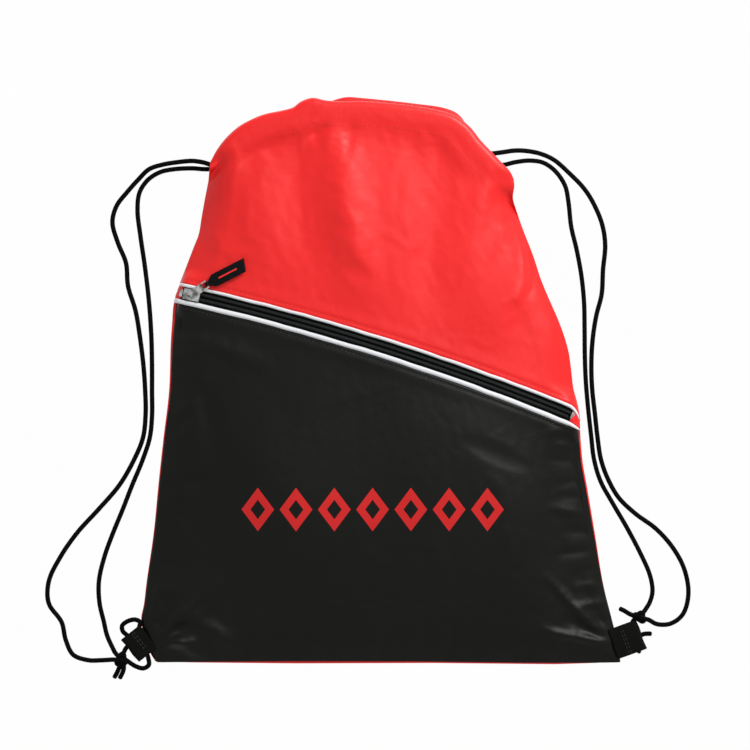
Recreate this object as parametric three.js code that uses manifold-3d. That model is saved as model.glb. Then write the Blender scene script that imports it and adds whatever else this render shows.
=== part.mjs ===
// Drawstring backpack, lying on its back with its zip pocket facing up. Millimetres, +Z up.
// The origin is the middle of the bag's footprint, on the surface that it lies on. +Y points to the mouth.
import * as THREE from 'three';
import { mergeVertices } from 'three/addons/utils/BufferGeometryUtils.js';
import Module from 'manifold-3d';

const wasm = await Module();
wasm.setup();

// ---- driving dimensions ----
const GAP = 0.3;                 // left between pieces that touch
const CLOTH = 1.2;               // thickness of a cloth layer with its seam allowance
const CORD = 3.5;                // cord diameter
const CORD_SIDES = 8;

// Heights of the layers along the bag's edges, each at the middle of its thickness.
const Z_BACK = CLOTH / 2;
const Z_FRONT_EDGE = 9.6;
const Z_BACK_CHANNEL = 4.5;
const Z_FRONT_CHANNEL = 16.5;

// The bag's side edges, from the bottom corner to the mouth's corner, in plan.
const LEFT_EDGE = [[-167, -209.5], [-176.5, -186], [-175.5, -160], [-169, -112], [-162, -42], [-158, -5],
  [-157, 29], [-155.5, 55], [-146, 82], [-136, 108], [-132, 134], [-128.5, 150]];
const RIGHT_EDGE = [[174.5, -209.5], [170, -185], [162, -148], [150, -77], [144, -42], [138.5, -7],
  [131, 37], [116.5, 73], [104, 108], [96, 130], [95.5, 146]];
const FRONT_BOTTOM_Y = -207;
const BACK_BOTTOM_Y = -209.5;
const SIDE_TOP_Y = 146;
const SEAM_WIDTH = 8;
const UPPER_FULLNESS = 2.5;      // how far each layer swells out at its middle
const POCKET_FULLNESS = 9;
const LINING_FULLNESS = 1.5;
const LINING_INSET = 10.5;       // the lining hangs inside the seams
const LINING_ZIP_INSET = 22;     // and stops short of the zip's ends
const Z_LINING_EDGE = 6.6;
const SEAM_START_Y = -184;

// The drawcord channels: a flat tunnel along the mouth, in plan.
const FRONT_MOUTH = [[-108, 170.5], [-96, 182], [-76, 190], [-46, 196], [-12, 197.5], [22, 194.5],
  [46, 186], [62, 170]];
const BACK_MOUTH = [[-108, 170.5], [-96, 182], [-76, 190.5], [-46, 197.5], [-12, 200.5], [22, 199],
  [46, 189], [62, 170]];
const CHANNEL_WIDTH = 18;
const CHANNEL_HEIGHT = 7;
const CHANNEL_WALL = 1;
const CHANNEL_STEPS = 15;
const BACK_RISE = 0.13;          // the last part of the back's height, where it rises to its channel
const PANEL_TO_CHANNEL = 0.9;

// The zip runs along an arc: down to the right in plan, and over the bulge of the pocket.
const ZIP_LEFT = [-148, 64.7];   // chord ends, in plan
const ZIP_RIGHT = [140, -26.1];
const ZIP_END_Z = 12;
const ZIP_RISE = 11;             // middle of the arc above its chord
const ZIP_BOW = 6.3;             // middle of the arc above the chord, in plan
const TAPE_START = -159;         // distances along the arc from its middle
const TAPE_END = 155;
const COIL_START = -150.8;
const COIL_END = 148.8;
const STOP_LENGTH = 2.2;
const STOP_HALF = 2.8;
const SLIDER_AT = -144;
const ZIP_STEPS = 26;

// The slider, its pull and the ribbon on it.
const SLIDER_LENGTH = 12.4;
const SLIDER_WIDTH = 8;
const PULL_LENGTH = 14;
const PULL_TURN = 46.6;          // degrees from the zip's own direction, in the plane of the zip
const PULL_Z = 4.3;
const RIBBON_WIDTH = 9.5;
const RIBBON_LENGTH = 29;
const SLIDER = { top: 2.1, bottom: -0.9, plate: 1.2, lip: 0.4, wall: 0.8, bridgeHalf: 2.2, bridgeTop: 5.9 };
const PULL = { half: 3.1, bar: 1, slotHalf: 2.2, thick: 0.9, eyeEnd: 3.2, ribbonSlotStart: 10.4 };
const RIBBON = { thick: 1.4, foldOuter: 1.75, foldInner: 1, neckHalf: 1.6, slant: 3, start: 2 };

// Corner tabs: the middle of each outer edge in plan, and the direction in which each sticks out.
const TAB_HEIGHT = 6.4;
const TAB_WALL = 1;
const TAB_Z = 5.4;
const TABS = {
  left: { at: [-186.5, -198.6], turn: 218.5, width: 21, reach: 10.5 },
  right: { at: [189.7, -186.6], turn: 20.2, width: 22.5, reach: 16 },
};
// The knots lie beside the tabs, and a loop of cord goes from each through its tab.
const KNOTS = {
  left: { at: [-193, -205, 5.6], half: [6, 5.5, 5.2], loopOut: -1.2, loopHalf: [5, 15.5] },
  right: { at: [190.2, -172.5, 5.4], half: [5, 4.6, 4.8], loopOut: -1.5, loopHalf: [5.5, 13.8] },
};

const LOOP_SQUARENESS = 0.7;

// Routes of the drawcords: from each channel's mouth over the surface to the knot on the corner tab.
const LEFT_OUTER = [[-111, 164.2, 16.3], [-115.5, 160.6, 15], [-120.5, 158.6, 12.6], [-126, 158.9, 10],
  [-133, 161, 7], [-141, 162.2, 4.2], [-152, 161.4, 2.3], [-163, 159.6, 1.9], [-173, 156.2, 1.9],
  [-181, 148.5, 1.9], [-189, 139.5, 1.9], [-197, 129, 1.9], [-200, 117, 1.9], [-196, 102, 1.9],
  [-190, 87, 1.9], [-188.5, 70, 1.9], [-183, 52, 1.9], [-179.5, 31, 1.9], [-177, 10, 1.9],
  [-175.8, -8, 1.9], [-175.5, -24, 1.9], [-177.5, -42, 1.9], [-184.5, -59, 1.9], [-195, -77, 1.9],
  [-210.5, -95, 1.9], [-226, -112, 1.9], [-238.5, -130, 1.9], [-247, -148, 1.9], [-247, -164, 1.9],
  [-237.5, -178, 1.9], [-234.5, -191, 1.9], [-229, -202, 1.9], [-218, -206, 2], [-208, -206, 3],
  [-199.7, -205.4, 4.6]];
const LEFT_INNER = [[-111, 164.2, 4.5], [-115.5, 160, 4.4], [-120.5, 157.2, 3.6], [-126, 156.4, 2.8],
  [-133, 156.3, 2.1], [-141, 156.9, 1.9], [-155, 156.2, 1.9], [-165, 154, 1.9], [-174, 148.2, 1.9],
  [-180, 139, 1.9], [-181.5, 126, 1.9], [-179.5, 108, 1.9], [-176, 84, 1.9], [-173, 58, 1.9],
  [-171.3, 33, 1.9], [-170.8, 11, 1.9], [-170.8, -7, 1.9], [-170.8, -26, 1.9], [-172.5, -42, 1.9],
  [-178, -59, 1.9], [-185.5, -77, 1.9], [-192.5, -95, 1.9], [-199.5, -112, 1.9], [-206, -130, 1.9],
  [-210, -148, 1.9], [-209.5, -164, 1.9], [-206.5, -177, 2], [-203.8, -188, 2.6], [-198.2, -199.8, 4.6]];
const RIGHT_OUTER = [[66.8, 168.6, 16.4], [72.5, 167, 15], [80, 167.2, 11.8], [88, 168.4, 8.6],
  [97, 169.8, 5.2], [106, 169.6, 2.8], [116, 167.6, 1.9], [126, 163, 1.9], [137, 153.4, 1.9],
  [148, 142, 1.9], [155.5, 130, 1.9], [161.5, 115, 1.9], [163.6, 100, 1.9], [162, 82, 1.9],
  [161, 64, 1.9], [157, 48, 1.9], [154.3, 30, 1.9], [153.4, 12, 1.9], [154, -6, 1.9],
  [156, -24, 1.9], [158, -42, 1.9], [160.5, -58, 1.9], [165.5, -72, 1.9], [173.5, -86, 1.9],
  [186, -98, 1.9], [201, -109, 1.9], [213.5, -123, 1.9], [222, -139, 1.9], [225, -157, 1.9],
  [221, -172, 1.9], [212, -179, 2], [202, -179.4, 2.8], [195.8, -176.2, 4.6]];
const RIGHT_INNER = [[66.8, 168.6, 4.5], [71.5, 164.2, 4.3], [78, 160.6, 3.4], [88, 159.4, 2.5],
  [97, 161.4, 1.9], [108, 162.6, 1.9], [118, 161, 1.9], [127, 154.6, 1.9], [134, 144, 1.9],
  [136.5, 132, 1.9], [138.5, 114, 1.9], [142.5, 97, 1.9], [146, 78, 1.9], [148, 58, 1.9],
  [148.4, 38, 1.9], [148.6, 18, 1.9], [149.3, 0, 1.9], [151, -20, 1.9], [153.2, -40, 1.9],
  [155.4, -58, 1.9], [160.2, -74, 1.9], [169, -90, 1.9], [179.5, -108, 1.9], [189.5, -127, 1.9],
  [196.5, -143, 1.9], [198.5, -155, 2], [196.5, -163, 3], [193.2, -168.4, 4.4]];
const LANE = 2.4;                // each cord runs this far to one side of a channel's middle
const TURN_OUT = 6;              // a cord's turn from one channel to the other reaches this far out
const RUN_STEPS = 18;

const RED = { color: 0xfc3939, roughness: 0.5, metalness: 0 };
const BLACK = { color: 0x1a1b17, roughness: 0.6, metalness: 0 };
const WHITE = { color: 0xf4f5f8, roughness: 0.45, metalness: 0 };
const NICKEL = { color: 0xb9bcc0, roughness: 0.28, metalness: 1 };
const CORD_BLACK = { color: 0x0b0b0c, roughness: 0.75, metalness: 0 };

// ---- shared geometry ----
const bag = new THREE.Group();
const lerp = THREE.MathUtils.lerp;
const radians = THREE.MathUtils.degToRad;

function add(name, geometry, finish) {
  const mesh = new THREE.Mesh(geometry, new THREE.MeshStandardMaterial(finish));
  mesh.name = name;
  bag.add(mesh);
  return mesh;
}

// Moves every vertex of a closed geometry by a function of its position.
function deform(geometry, map) {
  const place = geometry.getAttribute('position');
  const point = new THREE.Vector3();
  for (let i = 0; i < place.count; i += 1) {
    const moved = map(point.fromBufferAttribute(place, i).clone());
    place.setXYZ(i, moved.x, moved.y, moved.z);
  }
  geometry.computeVertexNormals();
  return geometry;
}

// A layer of cloth over a surface(u, v), with u and v from 0 to 1.
function clothLayer(surface, across, along, thickness = CLOTH) {
  return deform(new THREE.BoxGeometry(1, 1, 1, across, along, 1), (p) => {
    const point = surface(p.x + 0.5, p.y + 0.5);
    point.z += p.z * thickness;
    return point;
  });
}

// A Coons patch between four edges that meet at their corners.
function patch(bottom, top, left, right) {
  const corners = [bottom(0), bottom(1), top(0), top(1)];
  return (u, v) => bottom(u).multiplyScalar(1 - v)
    .addScaledVector(top(u), v)
    .addScaledVector(left(v), 1 - u)
    .addScaledVector(right(v), u)
    .addScaledVector(corners[0], -(1 - u) * (1 - v))
    .addScaledVector(corners[1], -u * (1 - v))
    .addScaledVector(corners[2], -(1 - u) * v)
    .addScaledVector(corners[3], -u * v);
}

function toManifold(geometry) {
  const plain = geometry.clone();
  for (const name of Object.keys(plain.attributes)) {
    if (name !== 'position') plain.deleteAttribute(name);
  }
  const merged = mergeVertices(plain, 1e-4);
  return new wasm.Manifold(new wasm.Mesh({
    numProp: 3,
    vertProperties: new Float32Array(merged.getAttribute('position').array),
    triVerts: new Uint32Array(merged.getIndex().array),
  }));
}

function fromManifold(solid) {
  const mesh = solid.getMesh();
  const geometry = new THREE.BufferGeometry();
  geometry.setAttribute('position', new THREE.BufferAttribute(mesh.vertProperties, 3));
  geometry.setIndex(new THREE.BufferAttribute(mesh.triVerts, 1));
  geometry.computeVertexNormals();
  return geometry;
}

function join(first, ...others) {
  const solids = others.map(toManifold);
  return fromManifold(solids.reduce((sum, next) => sum.add(next), toManifold(first)));
}

function cut(first, ...others) {
  const solids = others.map(toManifold);
  return fromManifold(solids.reduce((rest, next) => rest.subtract(next), toManifold(first)));
}

function block(low, high) {
  const size = high.map((value, axis) => value - low[axis]);
  const middle = high.map((value, axis) => (value + low[axis]) / 2);
  return new THREE.BoxGeometry(...size).translate(...middle);
}

// ---- the bag's outline ----
const splineOf = (points) => new THREE.SplineCurve(points.map(([x, y]) => new THREE.Vector2(x, y)));
const leftEdge = splineOf(LEFT_EDGE);
const rightEdge = splineOf(RIGHT_EDGE);

// x of an edge at a height y, found by halving, because y always grows along an edge.
function edgeX(edge, y) {
  let low = 0;
  let high = 1;
  for (let i = 0; i < 30; i += 1) {
    const middle = (low + high) / 2;
    if (edge.getPoint(middle).y < y) low = middle;
    else high = middle;
  }
  return edge.getPoint(low).x;
}

// An edge of a panel that follows the outline from one corner to the next.
function sideCurve(edge, from, to) {
  const fromOff = from.x - edgeX(edge, from.y);
  const toOff = to.x - edgeX(edge, to.y);
  return (v) => {
    const y = lerp(from.y, to.y, v);
    return new THREE.Vector3(edgeX(edge, y) + lerp(fromOff, toOff, v), y, lerp(from.z, to.z, v));
  };
}

function straightCurve(from, to) {
  return (u) => new THREE.Vector3().lerpVectors(from, to, u);
}

// ---- the zip's arc ----
const zip = (() => {
  const left = new THREE.Vector3(...ZIP_LEFT, ZIP_END_Z);
  const right = new THREE.Vector3(...ZIP_RIGHT, ZIP_END_Z);
  const chord = right.clone().sub(left).normalize();
  const across = new THREE.Vector3(-chord.y, chord.x, 0);
  const rise = Math.hypot(ZIP_BOW, ZIP_RISE);
  const lean = { side: ZIP_BOW / rise, up: ZIP_RISE / rise };
  const bulge = across.clone().multiplyScalar(lean.side).setZ(lean.up);
  const axis = bulge.clone().cross(chord);
  const half = left.distanceTo(right) / 2;
  const radius = half * half / (2 * rise) + rise / 2;
  const centre = left.clone().add(right).multiplyScalar(0.5).addScaledVector(bulge, rise - radius);
  return { chord, bulge, axis, radius, centre, lean };
})();

// The zip's frame at a distance along the arc: along it, across it in plan, and up out of the cloth.
function zipFrame(distance) {
  const angle = distance / zip.radius;
  const [sin, cos] = [Math.sin(angle), Math.cos(angle)];
  const outward = zip.chord.clone().multiplyScalar(sin).addScaledVector(zip.bulge, cos);
  const along = zip.chord.clone().multiplyScalar(cos).addScaledVector(zip.bulge, -sin);
  const across = outward.clone().multiplyScalar(zip.lean.side).addScaledVector(zip.axis, zip.lean.up);
  const up = outward.clone().multiplyScalar(zip.lean.up).addScaledVector(zip.axis, -zip.lean.side);
  const at = zip.centre.clone().addScaledVector(outward, zip.radius);
  return { at, along, across, up };
}

function zipPoint(distance, across, up) {
  const frame = zipFrame(distance);
  return frame.at.addScaledVector(frame.across, across).addScaledVector(frame.up, up);
}

// A section in the zip's (across, up) plane, carried along the arc.
function zipSweep(section, from, to, steps = ZIP_STEPS) {
  const shape = new THREE.Shape(section.map(([x, y]) => new THREE.Vector2(x, y)));
  const straight = new THREE.ExtrudeGeometry(shape, { depth: to - from, steps, bevelEnabled: false });
  return deform(straight, (p) => zipPoint(from + p.z, p.x, p.y));
}

const rectangle = (x0, x1, y0, y1) => [[x0, y0], [x1, y0], [x1, y1], [x0, y1]];

function oval(x, y, halfX, halfY, sides) {
  return Array.from({ length: sides }, (_, i) => {
    const angle = (i + 0.5) * 2 * Math.PI / sides;
    return [x + halfX * Math.cos(angle), y + halfY * Math.sin(angle)];
  });
}

// ---- the mouth ----
const frontMouth = splineOf(FRONT_MOUTH);
const backMouth = splineOf(BACK_MOUTH);

// A point beside a mouth's middle line. A positive offset is towards the outside of the bag.
function mouthPoint(mouth, u, offset) {
  const at = mouth.getPointAt(u);
  const along = mouth.getTangentAt(u);
  return new THREE.Vector2(at.x - along.y * offset, at.y + along.x * offset);
}

function hemChannel(mouth, height) {
  const halfWidth = CHANNEL_WIDTH / 2;
  const halfHeight = CHANNEL_HEIGHT / 2;
  const section = new THREE.Shape(oval(0, 0, 1, 1, 12).map(([x, y]) => new THREE.Vector2(
    Math.sign(x) * Math.abs(x) ** 0.5 * halfWidth,
    Math.sign(y) * Math.abs(y) ** 0.5 * halfHeight,
  )));
  section.holes.push(new THREE.Path(section.getPoints().map((p) => new THREE.Vector2(
    p.x * (1 - CHANNEL_WALL / halfWidth),
    p.y * (1 - CHANNEL_WALL / halfHeight),
  ))));
  const straight = new THREE.ExtrudeGeometry(section, { depth: 1, steps: CHANNEL_STEPS, bevelEnabled: false });
  return deform(straight, (p) => {
    const flat = mouthPoint(mouth, THREE.MathUtils.clamp(p.z, 0, 1), p.x);
    return new THREE.Vector3(flat.x, flat.y, height + p.y);
  });
}

// The edge of a panel along the inside of its channel, from one corner of the mouth to the other.
function mouthEdge(mouth, height) {
  const inner = Array.from({ length: 9 }, (_, i) => {
    return mouthPoint(mouth, i / 8, -CHANNEL_WIDTH / 2 - PANEL_TO_CHANNEL);
  });
  const curve = new THREE.SplineCurve([
    new THREE.Vector2(edgeX(leftEdge, SIDE_TOP_Y), SIDE_TOP_Y),
    new THREE.Vector2(-114, 149),
    ...inner,
    new THREE.Vector2(76, 149.5),
    new THREE.Vector2(edgeX(rightEdge, SIDE_TOP_Y), SIDE_TOP_Y),
  ]);
  return (u) => {
    const flat = curve.getPointAt(u);
    return new THREE.Vector3(flat.x, flat.y, height);
  };
}

// ---- panels ----
const PIPING_UPPER = { across: 5.9, half: 1.2 };
const PIPING_LOWER = { across: -6.3, half: 1.75 };
const PANEL_ON_TAPE = 1.1;
const UPPER_EDGE = PIPING_UPPER.across + PIPING_UPPER.half + GAP;
const LOWER_EDGE = PIPING_LOWER.across - PIPING_LOWER.half - GAP;
const LINING_UNDER_TAPE = { across: 11, up: -4.2 };
const PANEL_START = -160.5;
const PANEL_END = 157;

function zipEdge(across, up, from = PANEL_START, to = PANEL_END) {
  return (u) => zipPoint(lerp(from, to, u), across, up);
}

function backPanel() {
  const bottom = straightCurve(
    new THREE.Vector3(LEFT_EDGE[0][0], BACK_BOTTOM_Y, Z_BACK),
    new THREE.Vector3(RIGHT_EDGE[0][0], BACK_BOTTOM_Y, Z_BACK),
  );
  const top = mouthEdge(backMouth, Z_BACK_CHANNEL);
  const left = sideCurve(leftEdge, bottom(0), top(0));
  const right = sideCurve(rightEdge, bottom(1), top(1));
  const outline = patch(bottom, top, left, right);
  return clothLayer((u, v) => {
    const point = outline(u, v);
    const rise = Math.max(0, 1 - (1 - v) / BACK_RISE) ** 2;
    point.z = lerp(Z_BACK, Z_BACK_CHANNEL, rise);
    return point;
  }, 14, 15);
}

function frontUpperPanel() {
  const bottom = zipEdge(UPPER_EDGE, PANEL_ON_TAPE);
  const top = mouthEdge(frontMouth, Z_FRONT_CHANNEL);
  const left = sideCurve(leftEdge, bottom(0), top(0));
  const right = sideCurve(rightEdge, bottom(1), top(1));
  const outline = patch(bottom, top, left, right);
  return clothLayer((u, v) => {
    const point = outline(u, v);
    point.z += UPPER_FULLNESS * Math.sin(Math.PI * u) * (4 * v * (1 - v)) ** 2;
    return point;
  }, 18, 10);
}

// A panel of the pocket, from the bottom seam to the zip.
function pocketLayer(top, inset, bottomZ, fullness, cells) {
  const bottomY = FRONT_BOTTOM_Y + inset;
  const bottom = straightCurve(
    new THREE.Vector3(edgeX(leftEdge, bottomY) + inset, bottomY, bottomZ),
    new THREE.Vector3(edgeX(rightEdge, bottomY) - inset, bottomY, bottomZ),
  );
  const left = sideCurve(leftEdge, bottom(0), top(0));
  const right = sideCurve(rightEdge, bottom(1), top(1));
  const outline = patch(bottom, top, left, right);
  return clothLayer((u, v) => {
    const point = outline(u, v);
    point.z += fullness * Math.sin(Math.PI * u) * Math.sin(Math.PI * v);
    return point;
  }, ...cells);
}

function pocketPanel() {
  return pocketLayer(zipEdge(LOWER_EDGE, PANEL_ON_TAPE), 0, Z_FRONT_EDGE, POCKET_FULLNESS, [16, 10]);
}

function pocketLining() {
  const { across, up } = LINING_UNDER_TAPE;
  const top = zipEdge(across, up, PANEL_START + LINING_ZIP_INSET, PANEL_END - LINING_ZIP_INSET);
  return pocketLayer(top, LINING_INSET, Z_LINING_EDGE, LINING_FULLNESS, [12, 8]);
}

// The side seams stand between the back and the front, and fill the height between them.
function sideSeam(edge, inward, start) {
  const overCloth = CLOTH / 2 + GAP + 0.1;
  const underFront = CLOTH / 2 + GAP + 1.2;
  const riseFrom = SIDE_TOP_Y - 60;
  const riseTo = SIDE_TOP_Y - 10;
  const backZ = (y) => {
    const rise = THREE.MathUtils.clamp((y - riseFrom) / (riseTo - riseFrom), 0, 1);
    return lerp(Z_BACK, Z_BACK_CHANNEL, rise);
  };
  const zipEnd = zipPoint(start, 0, 0);
  const frontZ = (y) => (y < zipEnd.y
    ? lerp(Z_FRONT_EDGE, zipEnd.z, (y - FRONT_BOTTOM_Y) / (zipEnd.y - FRONT_BOTTOM_Y))
    : lerp(zipEnd.z, Z_FRONT_CHANNEL, (y - zipEnd.y) / (SIDE_TOP_Y - zipEnd.y)));
  return deform(new THREE.BoxGeometry(1, 1, 1, 1, 20, 1), (p) => {
    const y = lerp(SEAM_START_Y, SIDE_TOP_Y - 4, p.y + 0.5);
    return new THREE.Vector3(
      edgeX(edge, y) + inward * (1 + SEAM_WIDTH / 2) + p.x * SEAM_WIDTH,
      y,
      lerp(backZ(y) + overCloth, frontZ(y) - underFront, p.z + 0.5),
    );
  });
}

function bottomSeam() {
  const low = Z_BACK + CLOTH / 2 + GAP + 0.1;
  const high = Z_FRONT_EDGE - CLOTH / 2 - GAP - 0.2;
  const y = FRONT_BOTTOM_Y + 0.5;
  return block([LEFT_EDGE[0][0] + 4, y, low], [RIGHT_EDGE[0][0] - 4, y + SEAM_WIDTH - 1, high]);
}

// ---- the slider, its pull and the ribbon ----
const sliderFrame = zipFrame(SLIDER_AT);
const sliderBasis = new THREE.Matrix4().makeBasis(sliderFrame.along, sliderFrame.across, sliderFrame.up)
  .setPosition(sliderFrame.at);
const pullBasis = sliderBasis.clone().multiply(new THREE.Matrix4().makeRotationZ(radians(PULL_TURN)));

// The slider's frame has X along the zip, Y across it and Z out of the cloth.
function slider() {
  const half = SLIDER_LENGTH / 2;
  const wide = SLIDER_WIDTH / 2;
  const { top, bottom, plate, lip, wall, bridgeHalf, bridgeTop } = SLIDER;
  const topPlate = block([-half, -wide, top], [half, wide, top + plate]);
  const bottomPlate = block([-half, -wide, bottom - plate], [half, wide, bottom]);
  const post = block([3.4, -0.5, bottom - 0.6], [5.6, 0.5, top + 0.4]);
  const flanges = [wide - wall, -wide].map((y) => block([-half, y, lip], [half, y + wall, top + 0.4]));
  const feet = [bridgeHalf - wall, -bridgeHalf].map((x) => (
    block([x, -wall / 2, top + plate - 0.3], [x + wall, wall / 2, bridgeTop])
  ));
  const bridge = block([-bridgeHalf, -wall / 2, bridgeTop - wall], [bridgeHalf, wall / 2, bridgeTop]);
  return join(topPlate, bottomPlate, post, ...flanges, ...feet, bridge).applyMatrix4(sliderBasis);
}

// The pull's frame has X along the pull and its near bar at the origin, under the slider's bridge.
function pull() {
  const { half, bar, slotHalf, thick, eyeEnd, ribbonSlotStart } = PULL;
  const z = [PULL_Z - thick / 2, PULL_Z + thick / 2];
  const plate = block([-bar / 2, -half, z[0]], [PULL_LENGTH + bar / 2, half, z[1]]);
  const eye = block([bar / 2, -slotHalf, z[0] - 1], [eyeEnd, slotHalf, z[1] + 1]);
  const ribbonSlot = block([ribbonSlotStart, -slotHalf, z[0] - 1], [PULL_LENGTH - bar / 2, slotHalf, z[1] + 1]);
  return cut(plate, eye, ribbonSlot).applyMatrix4(pullBasis);
}

// The ribbon is a folded strip. Its fold goes round the pull's far bar.
function ribbon() {
  const { thick, foldOuter, foldInner, neckHalf, slant, start } = RIBBON;
  const ring = new THREE.Shape().absarc(0, 0, foldOuter, 0, 2 * Math.PI);
  ring.holes.push(new THREE.Path().absarc(0, 0, foldInner, 0, 2 * Math.PI));
  const fold = new THREE.ExtrudeGeometry(ring, { depth: 2 * neckHalf, curveSegments: 8, bevelEnabled: false })
    .translate(0, 0, -neckHalf).rotateX(Math.PI / 2).translate(PULL_LENGTH, 0, PULL_Z);
  const low = PULL_Z - thick / 2;
  const neck = block(
    [PULL_LENGTH + (foldInner + foldOuter) / 2, -neckHalf, low],
    [PULL_LENGTH + start + 1, neckHalf, low + thick],
  );
  const outline = new THREE.Shape([
    new THREE.Vector2(0, -RIBBON_WIDTH / 2),
    new THREE.Vector2(RIBBON_LENGTH - slant, -RIBBON_WIDTH / 2),
    new THREE.Vector2(RIBBON_LENGTH, RIBBON_WIDTH / 2),
    new THREE.Vector2(0, RIBBON_WIDTH / 2),
  ]);
  const strip = new THREE.ExtrudeGeometry(outline, { depth: thick, bevelEnabled: false })
    .translate(PULL_LENGTH + start, 0, low);
  return join(strip, neck, fold).applyMatrix4(pullBasis);
}

// ---- corner tabs and knots ----
// A tab's frame has X outwards, Y along its tunnel and its origin at the middle of the outer edge.
function tabBasis(tab) {
  return new THREE.Matrix4().makeRotationZ(radians(tab.turn)).setPosition(...tab.at, TAB_Z);
}

function cornerTab(tab) {
  const half = TAB_HEIGHT / 2;
  const outer = block([-tab.reach, -tab.width / 2, -half], [0, tab.width / 2, half]);
  const tunnel = block(
    [-tab.reach + TAB_WALL + 1, -tab.width, TAB_WALL - half],
    [-TAB_WALL, tab.width, half - TAB_WALL],
  );
  return cut(outer, tunnel).applyMatrix4(tabBasis(tab));
}

// The knot and the loop of cord that goes from it through the tab. The loop is an oval with flattened sides.
function knot(shape, tab) {
  const ball = new THREE.SphereGeometry(1, 14, 9).scale(...shape.half).translate(...shape.at);
  const [halfOut, halfAlong] = shape.loopHalf;
  const squared = (t) => Math.sign(t) * Math.abs(t) ** LOOP_SQUARENESS;
  const loop = deform(new THREE.TorusGeometry(halfOut, CORD / 2, CORD_SIDES, 28), (p) => {
    const angle = Math.atan2(p.y, p.x);
    const middle = new THREE.Vector3(Math.cos(angle) * halfOut, Math.sin(angle) * halfOut, 0);
    const from = p.sub(middle);
    return from.add(new THREE.Vector3(
      squared(Math.cos(angle)) * halfOut,
      squared(Math.sin(angle)) * halfAlong,
      0,
    ));
  }).translate(shape.loopOut, 0, 0).applyMatrix4(tabBasis(tab));
  return join(ball, loop);
}

// ---- drawcords ----
// A smooth route through its points, with a step of the tube at each point.
class Route extends THREE.CatmullRomCurve3 {
  getPointAt(u, target) {
    return this.getPoint(u, target);
  }

  getTangentAt(u, target) {
    return this.getTangent(u, target);
  }
}

function cord(points) {
  const route = new Route(points.map((p) => new THREE.Vector3(...p)));
  const ring = oval(0, 0, CORD / 2, CORD / 2, CORD_SIDES);
  const section = new THREE.Shape(ring.map(([x, y]) => new THREE.Vector2(x, y)));
  const steps = points.length - 1;
  return new THREE.ExtrudeGeometry(section, { steps, extrudePath: route, bevelEnabled: false });
}

// A cord's run through both channels: in by the front one, round at the far end and out by the back one.
function channelRun(lane, exitAt, exitPoint) {
  const out = exitAt === 0 ? -1 : 1;
  const farAt = 1 - exitAt;
  const pointIn = (mouth, i, z) => {
    const flat = mouthPoint(mouth, lerp(exitAt, farAt, i / RUN_STEPS), lane);
    return [flat.x, flat.y, z];
  };
  const front = Array.from({ length: RUN_STEPS + 1 }, (_, i) => pointIn(frontMouth, i, Z_FRONT_CHANNEL));
  const back = Array.from({ length: RUN_STEPS + 1 }, (_, i) => pointIn(backMouth, RUN_STEPS - i, Z_BACK_CHANNEL));
  const along = frontMouth.getTangentAt(farAt).multiplyScalar(-out);
  const end = front[RUN_STEPS];
  const middleZ = (Z_FRONT_CHANNEL + Z_BACK_CHANNEL) / 2;
  const halfZ = (Z_FRONT_CHANNEL - Z_BACK_CHANNEL) / 2;
  const turn = [-60, -30, 0, 30, 60].map((degrees) => {
    const reach = TURN_OUT * Math.cos(radians(degrees));
    const z = middleZ - halfZ * Math.sin(radians(degrees));
    return [end[0] + along.x * reach, end[1] + along.y * reach, z];
  });
  return cord([[...exitPoint, Z_FRONT_CHANNEL], ...front, ...turn, ...back, [...exitPoint, Z_BACK_CHANNEL]]);
}

// ---- the assembly ----
add('back_panel', backPanel(), RED);
add('front_upper_panel', frontUpperPanel(), RED);
add('pocket_panel', pocketPanel(), BLACK);
add('pocket_lining', pocketLining(), BLACK);
add('front_hem_channel', hemChannel(frontMouth, Z_FRONT_CHANNEL), RED);
add('back_hem_channel', hemChannel(backMouth, Z_BACK_CHANNEL), RED);
add('left_side_seam', sideSeam(leftEdge, 1, PANEL_START), RED);
add('right_side_seam', sideSeam(rightEdge, -1, PANEL_END), RED);
add('bottom_seam', bottomSeam(), BLACK);

add('upper_piping', zipSweep(
  oval(PIPING_UPPER.across, 0.3 + PIPING_UPPER.half, PIPING_UPPER.half, PIPING_UPPER.half, 8),
  PANEL_START,
  PANEL_END,
), WHITE);
add('lower_piping', zipSweep(
  oval(PIPING_LOWER.across, 0.3 + 1.3, PIPING_LOWER.half, 1.3, 8),
  PANEL_START,
  PANEL_END,
), WHITE);
add('upper_zip_tape', zipSweep(rectangle(0.9, 11, -0.6, 0), TAPE_START, TAPE_END), BLACK);
add('lower_zip_tape', zipSweep(rectangle(-11, -0.9, -0.6, 0), TAPE_START, TAPE_END), BLACK);
add('upper_zip_coil', zipSweep(oval(1.9, 1, 0.95, 0.7, 6), COIL_START, COIL_END), BLACK);
add('lower_zip_coil', zipSweep(oval(-1.9, 1, 0.95, 0.7, 6), COIL_START, COIL_END), BLACK);
const stopSection = rectangle(-STOP_HALF, STOP_HALF, GAP, 1.7);
const leftStopEnd = COIL_START - GAP;
const rightStopStart = COIL_END + GAP;
add('left_zip_stop', zipSweep(stopSection, leftStopEnd - STOP_LENGTH, leftStopEnd, 1), NICKEL);
add('right_zip_stop', zipSweep(stopSection, rightStopStart, rightStopStart + STOP_LENGTH, 1), NICKEL);

const coverSection = rectangle(-4.1, 4.2, GAP, 1.3);
const leftCoverEnd = leftStopEnd - STOP_LENGTH - 2 * GAP;
const rightCoverStart = rightStopStart + STOP_LENGTH + 2 * GAP;
add('left_zip_end_cover', zipSweep(coverSection, TAPE_START, leftCoverEnd, 1), RED);
add('right_zip_end_cover', zipSweep(coverSection, rightCoverStart, TAPE_END, 1), RED);

add('zip_slider', slider(), NICKEL);
add('zip_pull', pull(), NICKEL);
add('pull_ribbon', ribbon(), BLACK);

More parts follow.
